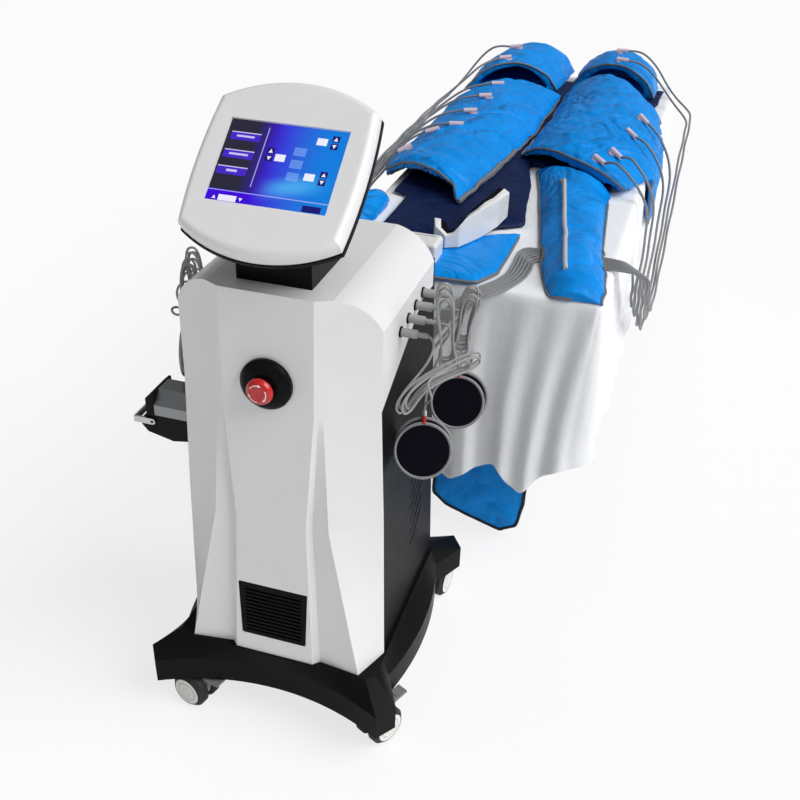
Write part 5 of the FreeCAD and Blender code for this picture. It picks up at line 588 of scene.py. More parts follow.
@dataclass(frozen=True)
class Nylon(Finish):
    """Coated nylon: a fine ripstop weave, crinkles, painted highlights and shade in the colour, and
    near-black painted shade where the piece is marked so.
    """

    # Near-black navy, painted as shade on skin that faces a hollow.
    lining: Colour = (0.003, 0.011, 0.055)
    crinkle: float = 0.75
    rough: float = 0.36
    weave: float = 2600.0

    def paint(self, graph: Graph) -> None:
        """Weave, crinkles, painted highlights and shade, and the painted shade of the hollows."""
        tone = graph.noise(7.0, 5.0, 0.62, 0.8)
        creases = graph.noise(5.5, 2.5, 0.5, 1.2)
        ridges = abs(creases - 0.5) * 2.0
        fine = graph.noise(110.0, 4.0, 0.6, 0.6)
        wale = (graph.axis("Y") * self.weave).sine() * (graph.axis("X") * self.weave).sine()
        # Painted highlights and shade: the blue is lightened and darkened by up to 42 percent, by clouds and
        # along the creases.
        painted_sheen_and_shade = graph.shade(self.colour, tone * 0.7 + (1.0 - ridges) * 0.3, 0.42)
        # Skin marked as facing a hollow takes the near-black painted shade.
        inside = graph.node("ShaderNodeAttribute", {"attribute_name": "lining"}, {}, "Fac")
        cloth = graph.bump(wale, 0.1, 0.0002, graph.bump(ridges * 0.97 + fine * 0.03, self.crinkle, 0.03))
        graph.set(Base_Color=graph.mix(inside, painted_sheen_and_shade, self.lining), Roughness=self.rough + ridges * 0.14,
                  Specular_IOR_Level=0.14, Normal=cloth)


@dataclass(frozen=True)
class Cotton(Finish):
    """Plain woven cotton with soft creases, a little darker in their hollows as painted shade."""

    weave: float = 3000.0

    def paint(self, graph: Graph) -> None:
        """Weave, slubs, soft creases and painted shade in the creases' hollows."""
        threads = total((graph.axis(letter) * self.weave).sine() for letter in "XYZ")
        creases = graph.noise(11.0, 5.0, 0.55, 0.8)
        slubs = graph.noise(60.0, 3.0, 0.5, 0.0, (1.0, 1.0, 0.12))
        cloth = graph.bump(threads * 0.3, 0.12, 0.0003, graph.bump(creases * 0.8 + slubs * 0.2, 0.5, 0.006))
        # Painted shade: the colour is up to 6 percent darker where the crease pattern is low; the slubs add
        # the cloth's own tone.
        graph.set(Base_Color=graph.shade(self.colour, creases * 0.7 + slubs * 0.3, 0.06),
                  Roughness=0.82 + (slubs - 0.5) * 0.1, Sheen_Weight=0.2, Normal=cloth)


@dataclass(frozen=True)
class Tyre(Finish):
    """Twin wheel: a dark tyre round a pale hub with a dished ring."""

    centre: Point = (0.0, 0.0, 0.0)
    axle: Point = (1.0, 0.0, 0.0)
    hub: Colour = (0.78, 0.77, 0.74)

    def paint(self, graph: Graph) -> None:
        """Bands by the distance from the axle."""
        shifted = graph.vector("SUBTRACT", graph.place(), self.centre)
        radius = graph.vector("LENGTH", graph.vector("CROSS_PRODUCT", shifted, self.axle), output=1)
        rim = 1.0 - radius.ramp(0.0295, 0.0305)
        ring = (abs(radius - 0.0205) < 0.0012) + (abs(radius - 0.0095) < 0.0008)
        scuffs = graph.noise(70.0, 5.0, 0.65)
        tread = graph.shade(self.colour, scuffs, 0.25)
        hub = graph.mix(ring.smaller(1.0), graph.shade(self.hub, scuffs, 0.05), (0.5, 0.49, 0.47))
        graph.set(Base_Color=graph.mix(rim, tread, hub), Roughness=0.62 - rim * 0.2 + (scuffs - 0.5) * 0.15,
                  Normal=graph.bump(scuffs + ring, 0.15, 0.0006))


@dataclass(frozen=True)
class StopCap(Finish):
    """Red mushroom cap with three pale curved arrows that show the way to twist it."""

    centre: Point = (0.0, 0.0, 0.0)
    out: Point = (0.0, -1.0, 0.0)
    rough: float = 0.3

    def paint(self, graph: Graph) -> None:
        """Arcs and arrow heads by angle and radius round the cap's axis."""
        out = Vector(self.out).normalized()
        side = Vector((1.0, 0.0, 0.0))
        up = out.cross(side).normalized() * -1.0
        right = graph.along(self.centre, side)
        high = graph.along(self.centre, up)
        turn = graph.node("ShaderNodeMath", {"operation": "ARCTAN2"}, {0: high, 1: right})
        radius = (right * right + high * high) ** 0.5
        sector = (turn + 2.6) % (2.0 * math.pi / 3.0)
        line = (abs(radius - 0.0155) < 0.0008) * (sector < 1.15)
        head = (abs(radius - 0.0155) < (1.5 - sector) * 0.006) * (sector > 1.12) * (sector < 1.5)
        arrow = line.larger(head)
        clouds = graph.noise(60.0, 4.0)
        graph.set(Base_Color=graph.mix(arrow, graph.shade(self.colour, clouds, 0.08), (0.85, 0.83, 0.82)),
                  Roughness=self.rough + (clouds - 0.5) * 0.1, Coat_Weight=0.25,
                  Normal=graph.bump(clouds, 0.05, 0.0003))


@dataclass(frozen=True)
class Display(Finish):
    """Lit touch screen with a plain panel of buttons, number boxes and arrows, and no words.

    Shapes are level rectangles (middle across, middle down, width, height) and arrows (middle across,
    middle down, size, whether it points up), all as shares of the screen.
    """

    centre: Point = (0.0, 0.0, 0.0)
    up: Point = (0.0, 0.776, 0.6307)
    half: Tuple[float, float] = (0.1016, 0.0762)
    buttons: ClassVar[Tuple[Rect, ...]] = (
        (0.16, 0.2, 0.25, 0.1), (0.15, 0.42, 0.25, 0.1), (0.14, 0.62, 0.25, 0.1))
    shines: ClassVar[Tuple[Rect, ...]] = (
        (0.16, 0.155, 0.25, 0.012), (0.15, 0.375, 0.25, 0.012), (0.14, 0.575, 0.25, 0.012),
        (0.16, 0.2, 0.15, 0.024), (0.15, 0.42, 0.16, 0.024), (0.14, 0.62, 0.09, 0.028))
    rules: ClassVar[Tuple[Rect, ...]] = ((0.335, 0.42, 0.008, 0.72), (0.5, 0.86, 1.0, 0.009))
    keys: ClassVar[Tuple[Rect, ...]] = (
        (0.405, 0.33, 0.06, 0.075), (0.405, 0.42, 0.06, 0.075), (0.895, 0.1, 0.06, 0.075),
        (0.895, 0.19, 0.06, 0.075), (0.885, 0.53, 0.06, 0.075), (0.885, 0.62, 0.06, 0.075),
        (0.87, 0.94, 0.15, 0.075))
    boxes: ClassVar[Tuple[Rect, ...]] = (
        (0.495, 0.4, 0.085, 0.085), (0.79, 0.15, 0.085, 0.085), (0.775, 0.58, 0.085, 0.085),
        (0.18, 0.945, 0.15, 0.07))
    arrows: ClassVar[Tuple[Tuple[float, float, float, bool], ...]] = (
        (0.405, 0.33, 0.045, True), (0.405, 0.42, 0.045, False), (0.895, 0.1, 0.045, True),
        (0.895, 0.19, 0.045, False), (0.885, 0.53, 0.045, True), (0.885, 0.62, 0.045, False),
        (0.07, 0.945, 0.04, True), (0.29, 0.945, 0.04, False))
    zones: ClassVar[Tuple[Rect, ...]] = ((0.64, 0.3, 0.1, 0.1), (0.64, 0.45, 0.1, 0.1), (0.64, 0.6, 0.1, 0.1))

    def paint(self, graph: Graph) -> None:
        """Glow, dark side panel, buttons, boxes and arrows."""
        across = graph.along(self.centre, (1.0, 0.0, 0.0)) / (2.0 * self.half[0]) + 0.5
        down = 0.5 - graph.along(self.centre, self.up) / (2.0 * self.half[1])

        def patches(rects: Sequence[Rect]) -> Value:
            """How many of the rectangles a place lies in."""
            return total((abs(across - x) < wide / 2) * (abs(down - y) < tall / 2)
                         for x, y, wide, tall in rects)

        def arrow(x: float, y: float, size: float, upward: bool) -> Value:
            """One inside a small triangle, else zero."""
            rise = (down - y + size / 2) if upward else (y + size / 2 - down)
            return (abs(across - x) < rise * 0.4) * (rise > 0.0) * (rise < size)

        violet, azure = (0.045, 0.0, 0.66), (0.004, 0.2, 0.72)
        night, sheen = (0.022, 0.02, 0.04), (0.1, 0.6, 1.0)
        streak = 1.0 - (abs(down - 0.74 + (across - 0.6) * 0.28) * 6.0).ramp(0.0, 1.0)
        streak = streak * across.ramp(0.34, 0.62) * (1.0 - across.ramp(0.66, 1.02))
        glow = graph.mix(streak * 0.55, graph.mix(across.ramp(0.3, 0.92), violet, azure), sheen)
        glow = graph.mix((1.0 - across.ramp(0.22, 0.5)) * (down < 0.85), glow, night)
        signs = total(arrow(*sign) for sign in self.arrows)
        for shapes, share, colour in ((patches(self.buttons), 1.0, (0.06, 0.02, 0.55)),
                                      (patches(self.shines), 0.75, (0.75, 0.75, 0.95)),
                                      (patches(self.rules), 0.65, (0.6, 0.6, 0.95)),
                                      (patches(self.keys), 1.0, (0.01, 0.008, 0.16)),
                                      (patches(self.boxes) + signs, 0.93, (0.9, 0.9, 1.0)),
                                      (patches(self.zones), 0.35, (0.3, 0.55, 1.0))):
            glow = graph.mix(shapes.smaller(1.0) * share, glow, colour)
        smears = graph.noise(30.0, 5.0, 0.6)
        graph.set(Base_Color=(0.004, 0.004, 0.006), Roughness=0.12 + smears * 0.12, Emission_Color=glow,
                  Emission_Strength=1.0, Specular_IOR_Level=0.06)


@dataclass(frozen=True)
class Upholstery(Finish):
    """Coated cloth with a leather grain."""

    def paint(self, graph: Graph) -> None:
        """Pebbled grain and soft tone."""
        grain = graph.node("ShaderNodeTexVoronoi", {"feature": "DISTANCE_TO_EDGE"},
                           {"Vector": graph.place(), "Scale": 420.0}, "Distance")
        graph.set(Base_Color=graph.shade(self.colour, graph.noise(8.0), 0.05), Roughness=0.5 + grain * 0.1,
                  Normal=graph.bump(grain, 0.3, 0.0006))


@dataclass(frozen=True)
class Circuit(Finish):
    """Lacquered board with tracks and pads."""

    def paint(self, graph: Graph) -> None:
        """Tracks in two directions over the lacquer."""
        across = ((graph.axis("X") * 900.0 + graph.noise(30.0) * 5.0).sine() > 0.72)
        along = ((graph.axis("Z") * 900.0 + graph.noise(26.0) * 5.0).sine() > 0.72)
        tracks = across.larger(along)
        graph.set(Base_Color=graph.mix(tracks * 0.6, self.colour, (0.1, 0.36, 0.18)),
                  Roughness=0.4 - tracks * 0.1, Normal=graph.bump(tracks, 0.2, 0.0003))


class Tone(Enum):
    """The finishes that more than one piece wears."""

    SHELL = Moulding("shell white", (0.78, 0.78, 0.79), 0.34, 700.0, 0.08, 0.08)
    COVER = Moulding("cover black", (0.006, 0.006, 0.007), 0.42, 900.0, 0.25, 0.0, 0.06)
    BASE = Moulding("base black", (0.006, 0.006, 0.007), 0.36, 600.0, 0.3, 0.0, 0.06)
    GRILLE = Moulding("grille black", (0.005, 0.005, 0.006), 0.5, 900.0, 0.15, 0.0, 0.06)
    STOP = Moulding("stop plate black", (0.006, 0.006, 0.007), 0.28, 500.0, 0.1, 0.0, 0.06)
    SCREEN = Moulding("screen back black", (0.006, 0.006, 0.007), 0.4, 900.0, 0.15, 0.0, 0.06)
    NECK = Moulding("neck black paint", (0.005, 0.005, 0.006), 0.3, 1200.0, 0.2, 0.0, 0.06)
    MANIFOLD = Moulding("manifold grey", (0.06, 0.06, 0.065), 0.5)
    PEDAL = Moulding("pedal grey", (0.22, 0.22, 0.225), 0.5)
    CASTER = Moulding("caster grey paint", (0.2, 0.205, 0.21), 0.4)
    CONNECTOR = Moulding("connector black", (0.007, 0.007, 0.008), 0.45, 900.0, 0.15, 0.0, 0.1)
    GOGGLE = Moulding("goggle white", (0.78, 0.78, 0.77), 0.26, 600.0, 0.05, 0.2)
    BOX = Moulding("box white", (0.76, 0.76, 0.75), 0.34, 700.0, 0.08, 0.05)
    COUPLER = Moulding("coupler white", (0.78, 0.62, 0.66), 0.35, 800.0, 0.1, 0.05)
    FRAME = Moulding("frame grey paint", (0.3, 0.31, 0.33), 0.38)
    RED = Moulding("rocker red", (0.5, 0.012, 0.012), 0.32, 700.0, 0.05, 0.1)
    SNAP = Moulding("snap red", (0.42, 0.02, 0.03), 0.35)
    STEEL = Metal("plain steel", (0.55, 0.55, 0.57), 0.3)
    HOOD = Metal("cast hood", (0.28, 0.29, 0.3), 0.42, (3.0, 3.0, 3.0))
    WORKS = Metal("inner metal", (0.5, 0.5, 0.52), 0.45)
    HOSE = Rubber("hose grey", (0.23, 0.235, 0.245), 0.45)
    LEAD = Rubber("lead grey", (0.3, 0.305, 0.31), 0.5)
    PLUG = Rubber("plug grey", (0.36, 0.365, 0.37), 0.55)
    PAD = Rubber("pad black", (0.003, 0.003, 0.007), 0.6, 0.06)
    RIM = Rubber("pad rim grey", (0.24, 0.245, 0.25), 0.5)
    FOOT = Rubber("foot rubber", (0.02, 0.02, 0.02), 0.7)
    FOAM = Rubber("goggle foam", (0.004, 0.004, 0.006), 0.8, 0.06)
    TIE = Rubber("edge black", (0.012, 0.013, 0.016), 0.6)
    SUIT = Nylon("suit blue nylon", (0.0, 0.235, 0.72))
    # Near-black navy, painted all over as the shade inside the suit.
    LINING = Nylon("suit painted hollow shade", (0.003, 0.011, 0.055), (0.003, 0.011, 0.055), 0.6, 0.5)
    PIPING = Rubber("grey piping", (0.17, 0.18, 0.19), 0.6)
    ZIP = Rubber("zip tape", (0.5, 0.5, 0.51), 0.5)
    SHEET = Cotton("white sheet", (0.89, 0.905, 0.93))
    PADDING = Upholstery("couch upholstery", (0.55, 0.54, 0.52))
    BOARD = Circuit("board green", (0.012, 0.1, 0.04))


def metres(points: Sequence[Point]) -> List[Vector]:
    """Points in millimetres as vectors in metres."""
    return [Vector(point) * MM for point in points]


def joint(name: str) -> Mapping[str, Any]:
    """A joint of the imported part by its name."""
    return next(item for item in frame["joints"] if item["name"] == name)


def only(piece: Piece) -> Piece:
    """Deselects everything else and makes a piece the active one."""
    bpy.ops.object.select_all(action="DESELECT")
    piece.select_set(True)
    bpy.context.view_layer.objects.active = piece
    return piece


def dress(piece: Piece, finish: Finish, smooth: float = 35.0) -> Piece:
    """Gives a new piece its finish and smooth shading up to an angle in degrees."""
    piece.data.materials.clear()
    piece.data.materials.append(finish.material())
    only(piece)
    bpy.ops.object.shade_smooth_by_angle(angle=math.radians(smooth))
    return piece


def settle(piece: Piece) -> Piece:
    """Puts a piece's place into its mesh, so that its object sits at the origin."""
    only(piece)
    bpy.ops.object.transform_apply(location=True, rotation=True, scale=True)
    return piece


def apply_all(piece: Piece) -> Piece:
    """Applies a piece's modifiers in order."""
    only(piece)
    for modifier in list(piece.modifiers):
        bpy.ops.object.modifier_apply(modifier=modifier.name)
    return piece


def linked(name: str, data: Any) -> Piece:
    """A new object in the scene."""
    piece = bpy.data.objects.new(name, data)
    bpy.context.scene.collection.objects.link(piece)
    return piece


def added(name: str, form: Callable[..., Any], **settings: Any) -> Piece:
    """A new piece in one of Blender's own forms."""
    bpy.ops.object.select_all(action="DESELECT")
    form(**settings)
    piece = bpy.context.active_object
    piece.name = name
    return piece


def merged(piece: Piece, distance: float = 1e-5) -> Piece:
    """Welds a piece's loose corners and turns its faces outwards."""
    only(piece)
    bpy.ops.object.mode_set(mode="EDIT")
    bpy.ops.mesh.select_all(action="SELECT")
    bpy.ops.mesh.remove_doubles(threshold=distance)
    bpy.ops.mesh.normals_make_consistent(inside=False)
    bpy.ops.object.mode_set(mode="OBJECT")
    return piece


def corners(piece: Piece) -> np.ndarray:
    """A mesh's corners as rows of three."""
    flat = np.empty(len(piece.data.vertices) * 3)
    piece.data.vertices.foreach_get("co", flat)
    return flat.reshape(-1, 3)


def reshape(piece: Piece, spots: np.ndarray) -> None:
    """Moves a mesh's corners to new places."""
    piece.data.vertices.foreach_set("co", spots.ravel())
    piece.data.update()


def normals(piece: Piece) -> np.ndarray:
    """A mesh's normals at its corners as rows of three."""
    flat = np.empty(len(piece.data.vertices) * 3)
    piece.data.vertices.foreach_get("normal", flat)
    return flat.reshape(-1, 3)


def remeshed(name: str, node: str, voxel: float) -> Piece:
    """A welded copy of a solid with even square faces of about a voxel's size."""
    piece = merged(linked(name, frame["nodes"][node].data.copy()))
    piece.data.remesh_voxel_size = voxel
    piece.data.remesh_voxel_adaptivity = 0.0
    only(piece)
    bpy.ops.object.voxel_remesh()
    return piece


def evened(piece: Piece, factor: float, rounds: int) -> Piece:
    """Applies a piece's modifiers, and then a smoothing of its corners."""
    even = piece.modifiers.new("even", "SMOOTH")
    even.factor = factor
    even.iterations = rounds
    return apply_all(piece)


def stands_for(piece: Piece, node: str, slot: str) -> Piece:
    """Fixes a piece to the set in place of a solid, and hides the solid."""
    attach(piece, "set")
    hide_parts(node)
    return piece


def spline(name: str, points: Sequence[Vector], radius: float, sides: int, steps: int,
           closed: bool = False) -> Piece:
    """A round cord along one smooth spline.

    Args:
        name: the object's name.
        points: control points in metres.
        radius: the cord's radius.
        sides: bevel resolution.
        steps: divisions between control points.
        closed: whether the spline closes on itself.

    Returns:
        The curve object.
    """
    curve = bpy.data.curves.new(name, "CURVE")
    curve.dimensions = "3D"
    curve.resolution_u = steps
    curve.bevel_depth = radius
    curve.bevel_resolution = sides
    curve.use_fill_caps = not closed
    strand = curve.splines.new("NURBS")
    strand.points.add(len(points) - 1)
    for control, point in zip(strand.points, points):
        control.co = (*point, 1.0)
    strand.use_cyclic_u = closed
    strand.order_u = 3
    strand.use_endpoint_u = not closed
    return linked(name, curve)


def tube(name: str, points: Sequence[Vector], radius: float, finish: Finish, detail: int,
         closed: bool) -> Piece:
    """A round cord as a mesh.

    Args:
        name: the object's name.
        points: control points in metres.
        radius: the cord's radius.
        finish: its finish.
        detail: bevel resolution and divisions between control points.
        closed: whether it closes on itself.

    Returns:
        The finished piece.
    """
    only(spline(name, points, radius, detail, detail, closed))
    bpy.ops.object.convert(target="MESH")
    return dress(bpy.context.view_layer.objects.active, finish, 60.0)


def line_of(points: Sequence[Vector], steps: int) -> List[Vector]:
    """Points read along the smooth spline through control points."""
    bare = spline("guide", points, 0.0, 0, steps)
    mesh = bpy.data.meshes.new_from_object(bare)
    found = [vertex.co.copy() for vertex in mesh.vertices]
    bpy.data.objects.remove(bare)
    bpy.data.meshes.remove(mesh)
    return found


@dataclass
class SoftPiece:
    """A padded piece of the suit, swollen from its solid by a short cloth simulation."""

    node: str
    voxel: float
    cap: float
    finish: Finish
    slot: str
    wrinkle: float = 0.005
    crease: float = 0.0025
    fill: float = 0.45
    shrink: float = 0.0025
    # Axis of the hollow; the skin that faces it is painted near-black as shade.
    hollow: Optional[Tuple[Point, Point]] = None
    levels: int = 1
    frames: ClassVar[int] = 20
    cloth: ClassVar[Dict[str, Any]] = {
        "quality": 4, "mass": 0.3, "use_pressure": True, "uniform_pressure_force": 4.0,
        "tension_stiffness": 20.0, "compression_stiffness": 20.0, "bending_stiffness": 0.4}

    def build(self) -> Piece:
        """Copies, remeshes, swells and wrinkles the solid.

        Returns:
            The finished piece.
        """
        piece = remeshed(self.node + "_soft", self.node, self.voxel)
        reshape(piece, corners(piece) - normals(piece) * self.shrink)
        self.swell(piece)
        self.rumple(piece)
        if self.levels:
            modifier = piece.modifiers.new("smooth", "SUBSURF")
            modifier.levels = modifier.render_levels = self.levels
            apply_all(piece)
        self.mark_hollow_shade(piece)
        stands_for(dress(piece, self.finish, 80.0), self.node, self.slot)
        log.info("%s: %d faces", self.node, len(piece.data.polygons))
        return piece

    def swell(self, piece: Piece) -> None:
        """Fills the piece with air for a few frames and caps how far each point goes."""
        scene = bpy.context.scene
        rest = corners(piece)
        only(piece)
        bpy.ops.object.modifier_add(type="CLOTH")
        air = piece.modifiers[-1]
        for key, setting in self.cloth.items():
            setattr(air.settings, key, setting)
        air.settings.effector_weights.gravity = 0.0
        air.collision_settings.use_collision = False
        air.point_cache.frame_start, air.point_cache.frame_end = 1, self.frames
        for number in range(1, self.frames + 1):
            scene.frame_set(number)
        bpy.ops.object.modifier_apply(modifier=air.name)
        scene.frame_set(1)
        step = corners(piece) - rest
        far = np.linalg.norm(step, axis=1)
        share = np.minimum(1.0, self.cap / np.maximum(far, 1e-9))
        reshape(piece, rest + step * share[:, None])

    def rumple(self, piece: Piece) -> None:
        """Pushes soft wrinkles and sharper creases into the skin."""
        for name, kind, size, depth in (("wrinkles", "SOFT_NOISE", 0.11, self.wrinkle),
                                        ("creases", "HARD_NOISE", 0.055, self.crease)):
            if depth <= 0:
                continue
            clouds = bpy.data.textures.new(f"{self.node} {name}", "CLOUDS")
            clouds.noise_type = kind
            clouds.noise_scale = size
            clouds.noise_depth = 3
            push = piece.modifiers.new(name, "DISPLACE")
            push.texture = clouds
            push.texture_coords = "LOCAL"
            push.strength = depth * 2
            push.mid_level = 0.42
        evened(piece, 0.4, 3)

    def mark_hollow_shade(self, piece: Piece) -> None:
        """Marks the skin that faces a hollow, which is painted near-black as painted shade."""
        mark = np.zeros(len(piece.data.vertices), np.float32)
        if self.hollow is not None:
            start, end = (np.array(point) * MM for point in self.hollow)
            way = end - start
            spots = corners(piece)
            share = np.clip(((spots - start) @ way) / (way @ way), 0, 1)
            facing = ((spots - start - share[:, None] * way) * normals(piece)).sum(axis=1)
            mark = (facing < 0).astype(np.float32)
        attribute = piece.data.attributes.new("lining", "FLOAT", "POINT")
        attribute.data.foreach_set("value", mark)


@dataclass
class Piping:
    """Round piping sewn along a soft piece's edge."""

    name: str
    host: Piece
    points: List[Point]
    radius: float
    finish: Finish

    def build(self) -> Piece:
        """Lays the piping on its host's skin.

        Returns:
            The finished piping as a mesh.
        """
        laid = []
        for point in line_of(metres(self.points), 10):
            found, spot, normal, _ = self.host.closest_point_on_mesh(point)
            laid.append(spot + normal * (self.radius * 0.4) if found else point)
        piece = tube(self.name, laid[::2] if len(laid) > 12 else laid, self.radius, self.finish, 2, False)
        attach(piece, "set")
        return piece


@dataclass
class Suit:
    """The inflatable suit laid out on the couch."""

    def soft_pieces(self) -> List[SoftPiece]:
        """The padded pieces with their meshes' sizes."""
        blue, dark = Tone.SUIT.value, Tone.LINING.value
        return [
            # The suit's back, seen inside the suit, is painted near-black all over as shade.
            SoftPiece("suit_back", 0.01, 0.004, dark, "suit_lining", 0.003, 0.0015),
            SoftPiece("waist_belt", 0.006, 0.004, blue, "suit_blue", 0.0025, 0.0015),
            SoftPiece("suit_left_front", 0.005, 0.006, blue, "suit_blue", 0.009, 0.005, shrink=0.0006,
                      hollow=((-38, 1000, 480), (-38, 1960, 480)), levels=0),
            SoftPiece("suit_right_front", 0.005, 0.005, blue, "suit_blue", 0.009, 0.005, shrink=0.0006,
                      levels=0),
            SoftPiece("boot_left", 0.0065, 0.005, blue, "suit_blue", 0.007, 0.004),
            SoftPiece("boot_right", 0.0065, 0.005, blue, "suit_blue", 0.007, 0.004),
            SoftPiece("sleeve_right", 0.006, 0.004, blue, "suit_blue", 0.004, 0.0025),
            SoftPiece("sleeve_left", 0.006, 0.004, blue, "suit_blue", 0.004, 0.002),
            SoftPiece("hanging_flap", 0.006, 0.003, blue, "suit_blue", 0.003, 0.002, shrink=0.0015),
        ]

    def edges(self) -> Dict[str, Tuple[str, List[Point], float]]:
        """Piping lines: host piece, points in millimetres and radius in metres."""
        return {
            "left_front_near_piping": ("suit_left_front", [
                (68, 858, 728), (46, 884, 742), (20, 918, 762), (-20, 938, 780), (-62, 958, 784),
                (-110, 990, 776), (-160, 1024, 752), (-195, 1060, 722), (-216, 1110, 704)], 0.0035),
            "left_front_inner_piping": ("suit_left_front", [
                (68, 858, 728), (84, 1000, 728), (103, 1138, 730), (122, 1320, 730), (137, 1496, 730),
                (140, 1720, 730), (140, 1940, 730)], 0.0032),
            "left_front_far_piping": ("suit_left_front", [
                (-205, 1826, 702), (-180, 1830, 726), (-140, 1838, 756), (-80, 1860, 782), (-20, 1884, 790),
                (50, 1912, 776), (100, 1934, 750), (140, 1950, 729)], 0.003),
            "left_front_placket": ("suit_left_front", [
                (66, 862, 740), (84, 1000, 740), (100, 1130, 742), (112, 1220, 742),
                (122, 1330, 742)], 0.006),
            "right_front_near_piping": ("suit_right_front", [
                (126, 1290, 728), (150, 1282, 752), (180, 1268, 768), (230, 1228, 778), (289, 1186, 780),
                (360, 1152, 770), (420, 1128, 748), (455, 1124, 724)], 0.0035),
            "right_front_inner_piping": ("suit_right_front", [
                (126, 1292, 730), (132, 1310, 732), (138, 1420, 732), (144, 1540, 732), (147, 1640, 732),
                (150, 1840, 732), (152, 2050, 730)], 0.0032),
            "right_front_hem_piping": ("suit_right_front", [
                (512, 1308, 700), (512, 1308, 640), (512, 1309, 572), (512, 1350, 562), (512, 1402, 556),
                (512, 1460, 566), (512, 1515, 574), (512, 1580, 586), (512, 1628, 598), (512, 1629, 650),
                (512, 1629, 705)], 0.0032),
            "right_front_far_piping": ("suit_right_front", [
                (490, 1812, 716), (458, 1840, 745), (400, 1905, 785), (341, 1968, 806), (260, 2002, 785),
                (200, 2030, 748), (154, 2048, 729)], 0.003),
            "boot_left_mouth_piping": ("boot_left", [
                (-195, 1903, 728), (-180, 1908, 756), (-140, 1924, 796), (-90, 1944, 818), (-40, 1964, 826),
                (20, 1988, 818), (72, 2008, 792), (102, 2020, 756), (115, 2026, 728)], 0.0035),
            "boot_right_mouth_piping": ("boot_right", [
                (141, 2110, 728), (156, 2107, 758), (190, 2101, 792), (240, 2091, 817), (292, 2082, 826),
                (345, 2072, 817), (396, 2062, 792), (430, 2056, 758), (444, 2053, 728)], 0.0035),
            "belt_piping": ("waist_belt", [
                (-80, 445, 712), (60, 446, 712), (205, 450, 712), (228, 486, 712), (246, 526, 712),
                (248, 640, 712), (250, 768, 712)], 0.0035),
            "sleeve_right_piping": ("sleeve_right", [
                (486, 454, 706), (490, 515, 708), (471, 630, 708), (451, 741, 708), (434, 920, 708),
                (419, 1090, 708)], 0.0036),
            "sleeve_edge_piping": ("sleeve_right", [
                (420, 450, 708), (362, 453, 706), (338, 515, 706), (312, 600, 706), (289, 741, 706),
                (255, 920, 706), (219, 1090, 706), (182, 1270, 706)], 0.003),
            "sleeve_zip_tape": ("sleeve_right", [
                (387, 514, 760), (370, 620, 760), (350, 735, 760), (330, 850, 760), (310, 970, 760),
                (292, 1075, 760)], 0.0055),
            "flap_piping": ("hanging_flap", [
                (122, 503, 380), (121, 503, 200), (121, 503, 92), (138, 503, 70), (160, 503, 57),
                (225, 503, 35), (305, 503, 13), (330, 503, 20), (345, 503, 40), (358, 503, 90),
                (360, 503, 200), (360, 503, 380)], 0.0045),
        }

    def build(self) -> None:
        """Builds the padded pieces and the piping on their edges."""
        pieces = {soft.node: soft.build() for soft in self.soft_pieces()}
        tones = {"flap_piping": Tone.TIE, "sleeve_zip_tape": Tone.ZIP}
        for name, (host, points, radius) in self.edges().items():
            Piping(name, pieces[host], points, radius, tones.get(name, Tone.PIPING).value).build()
        log.info("piping: %d", len(self.edges()))


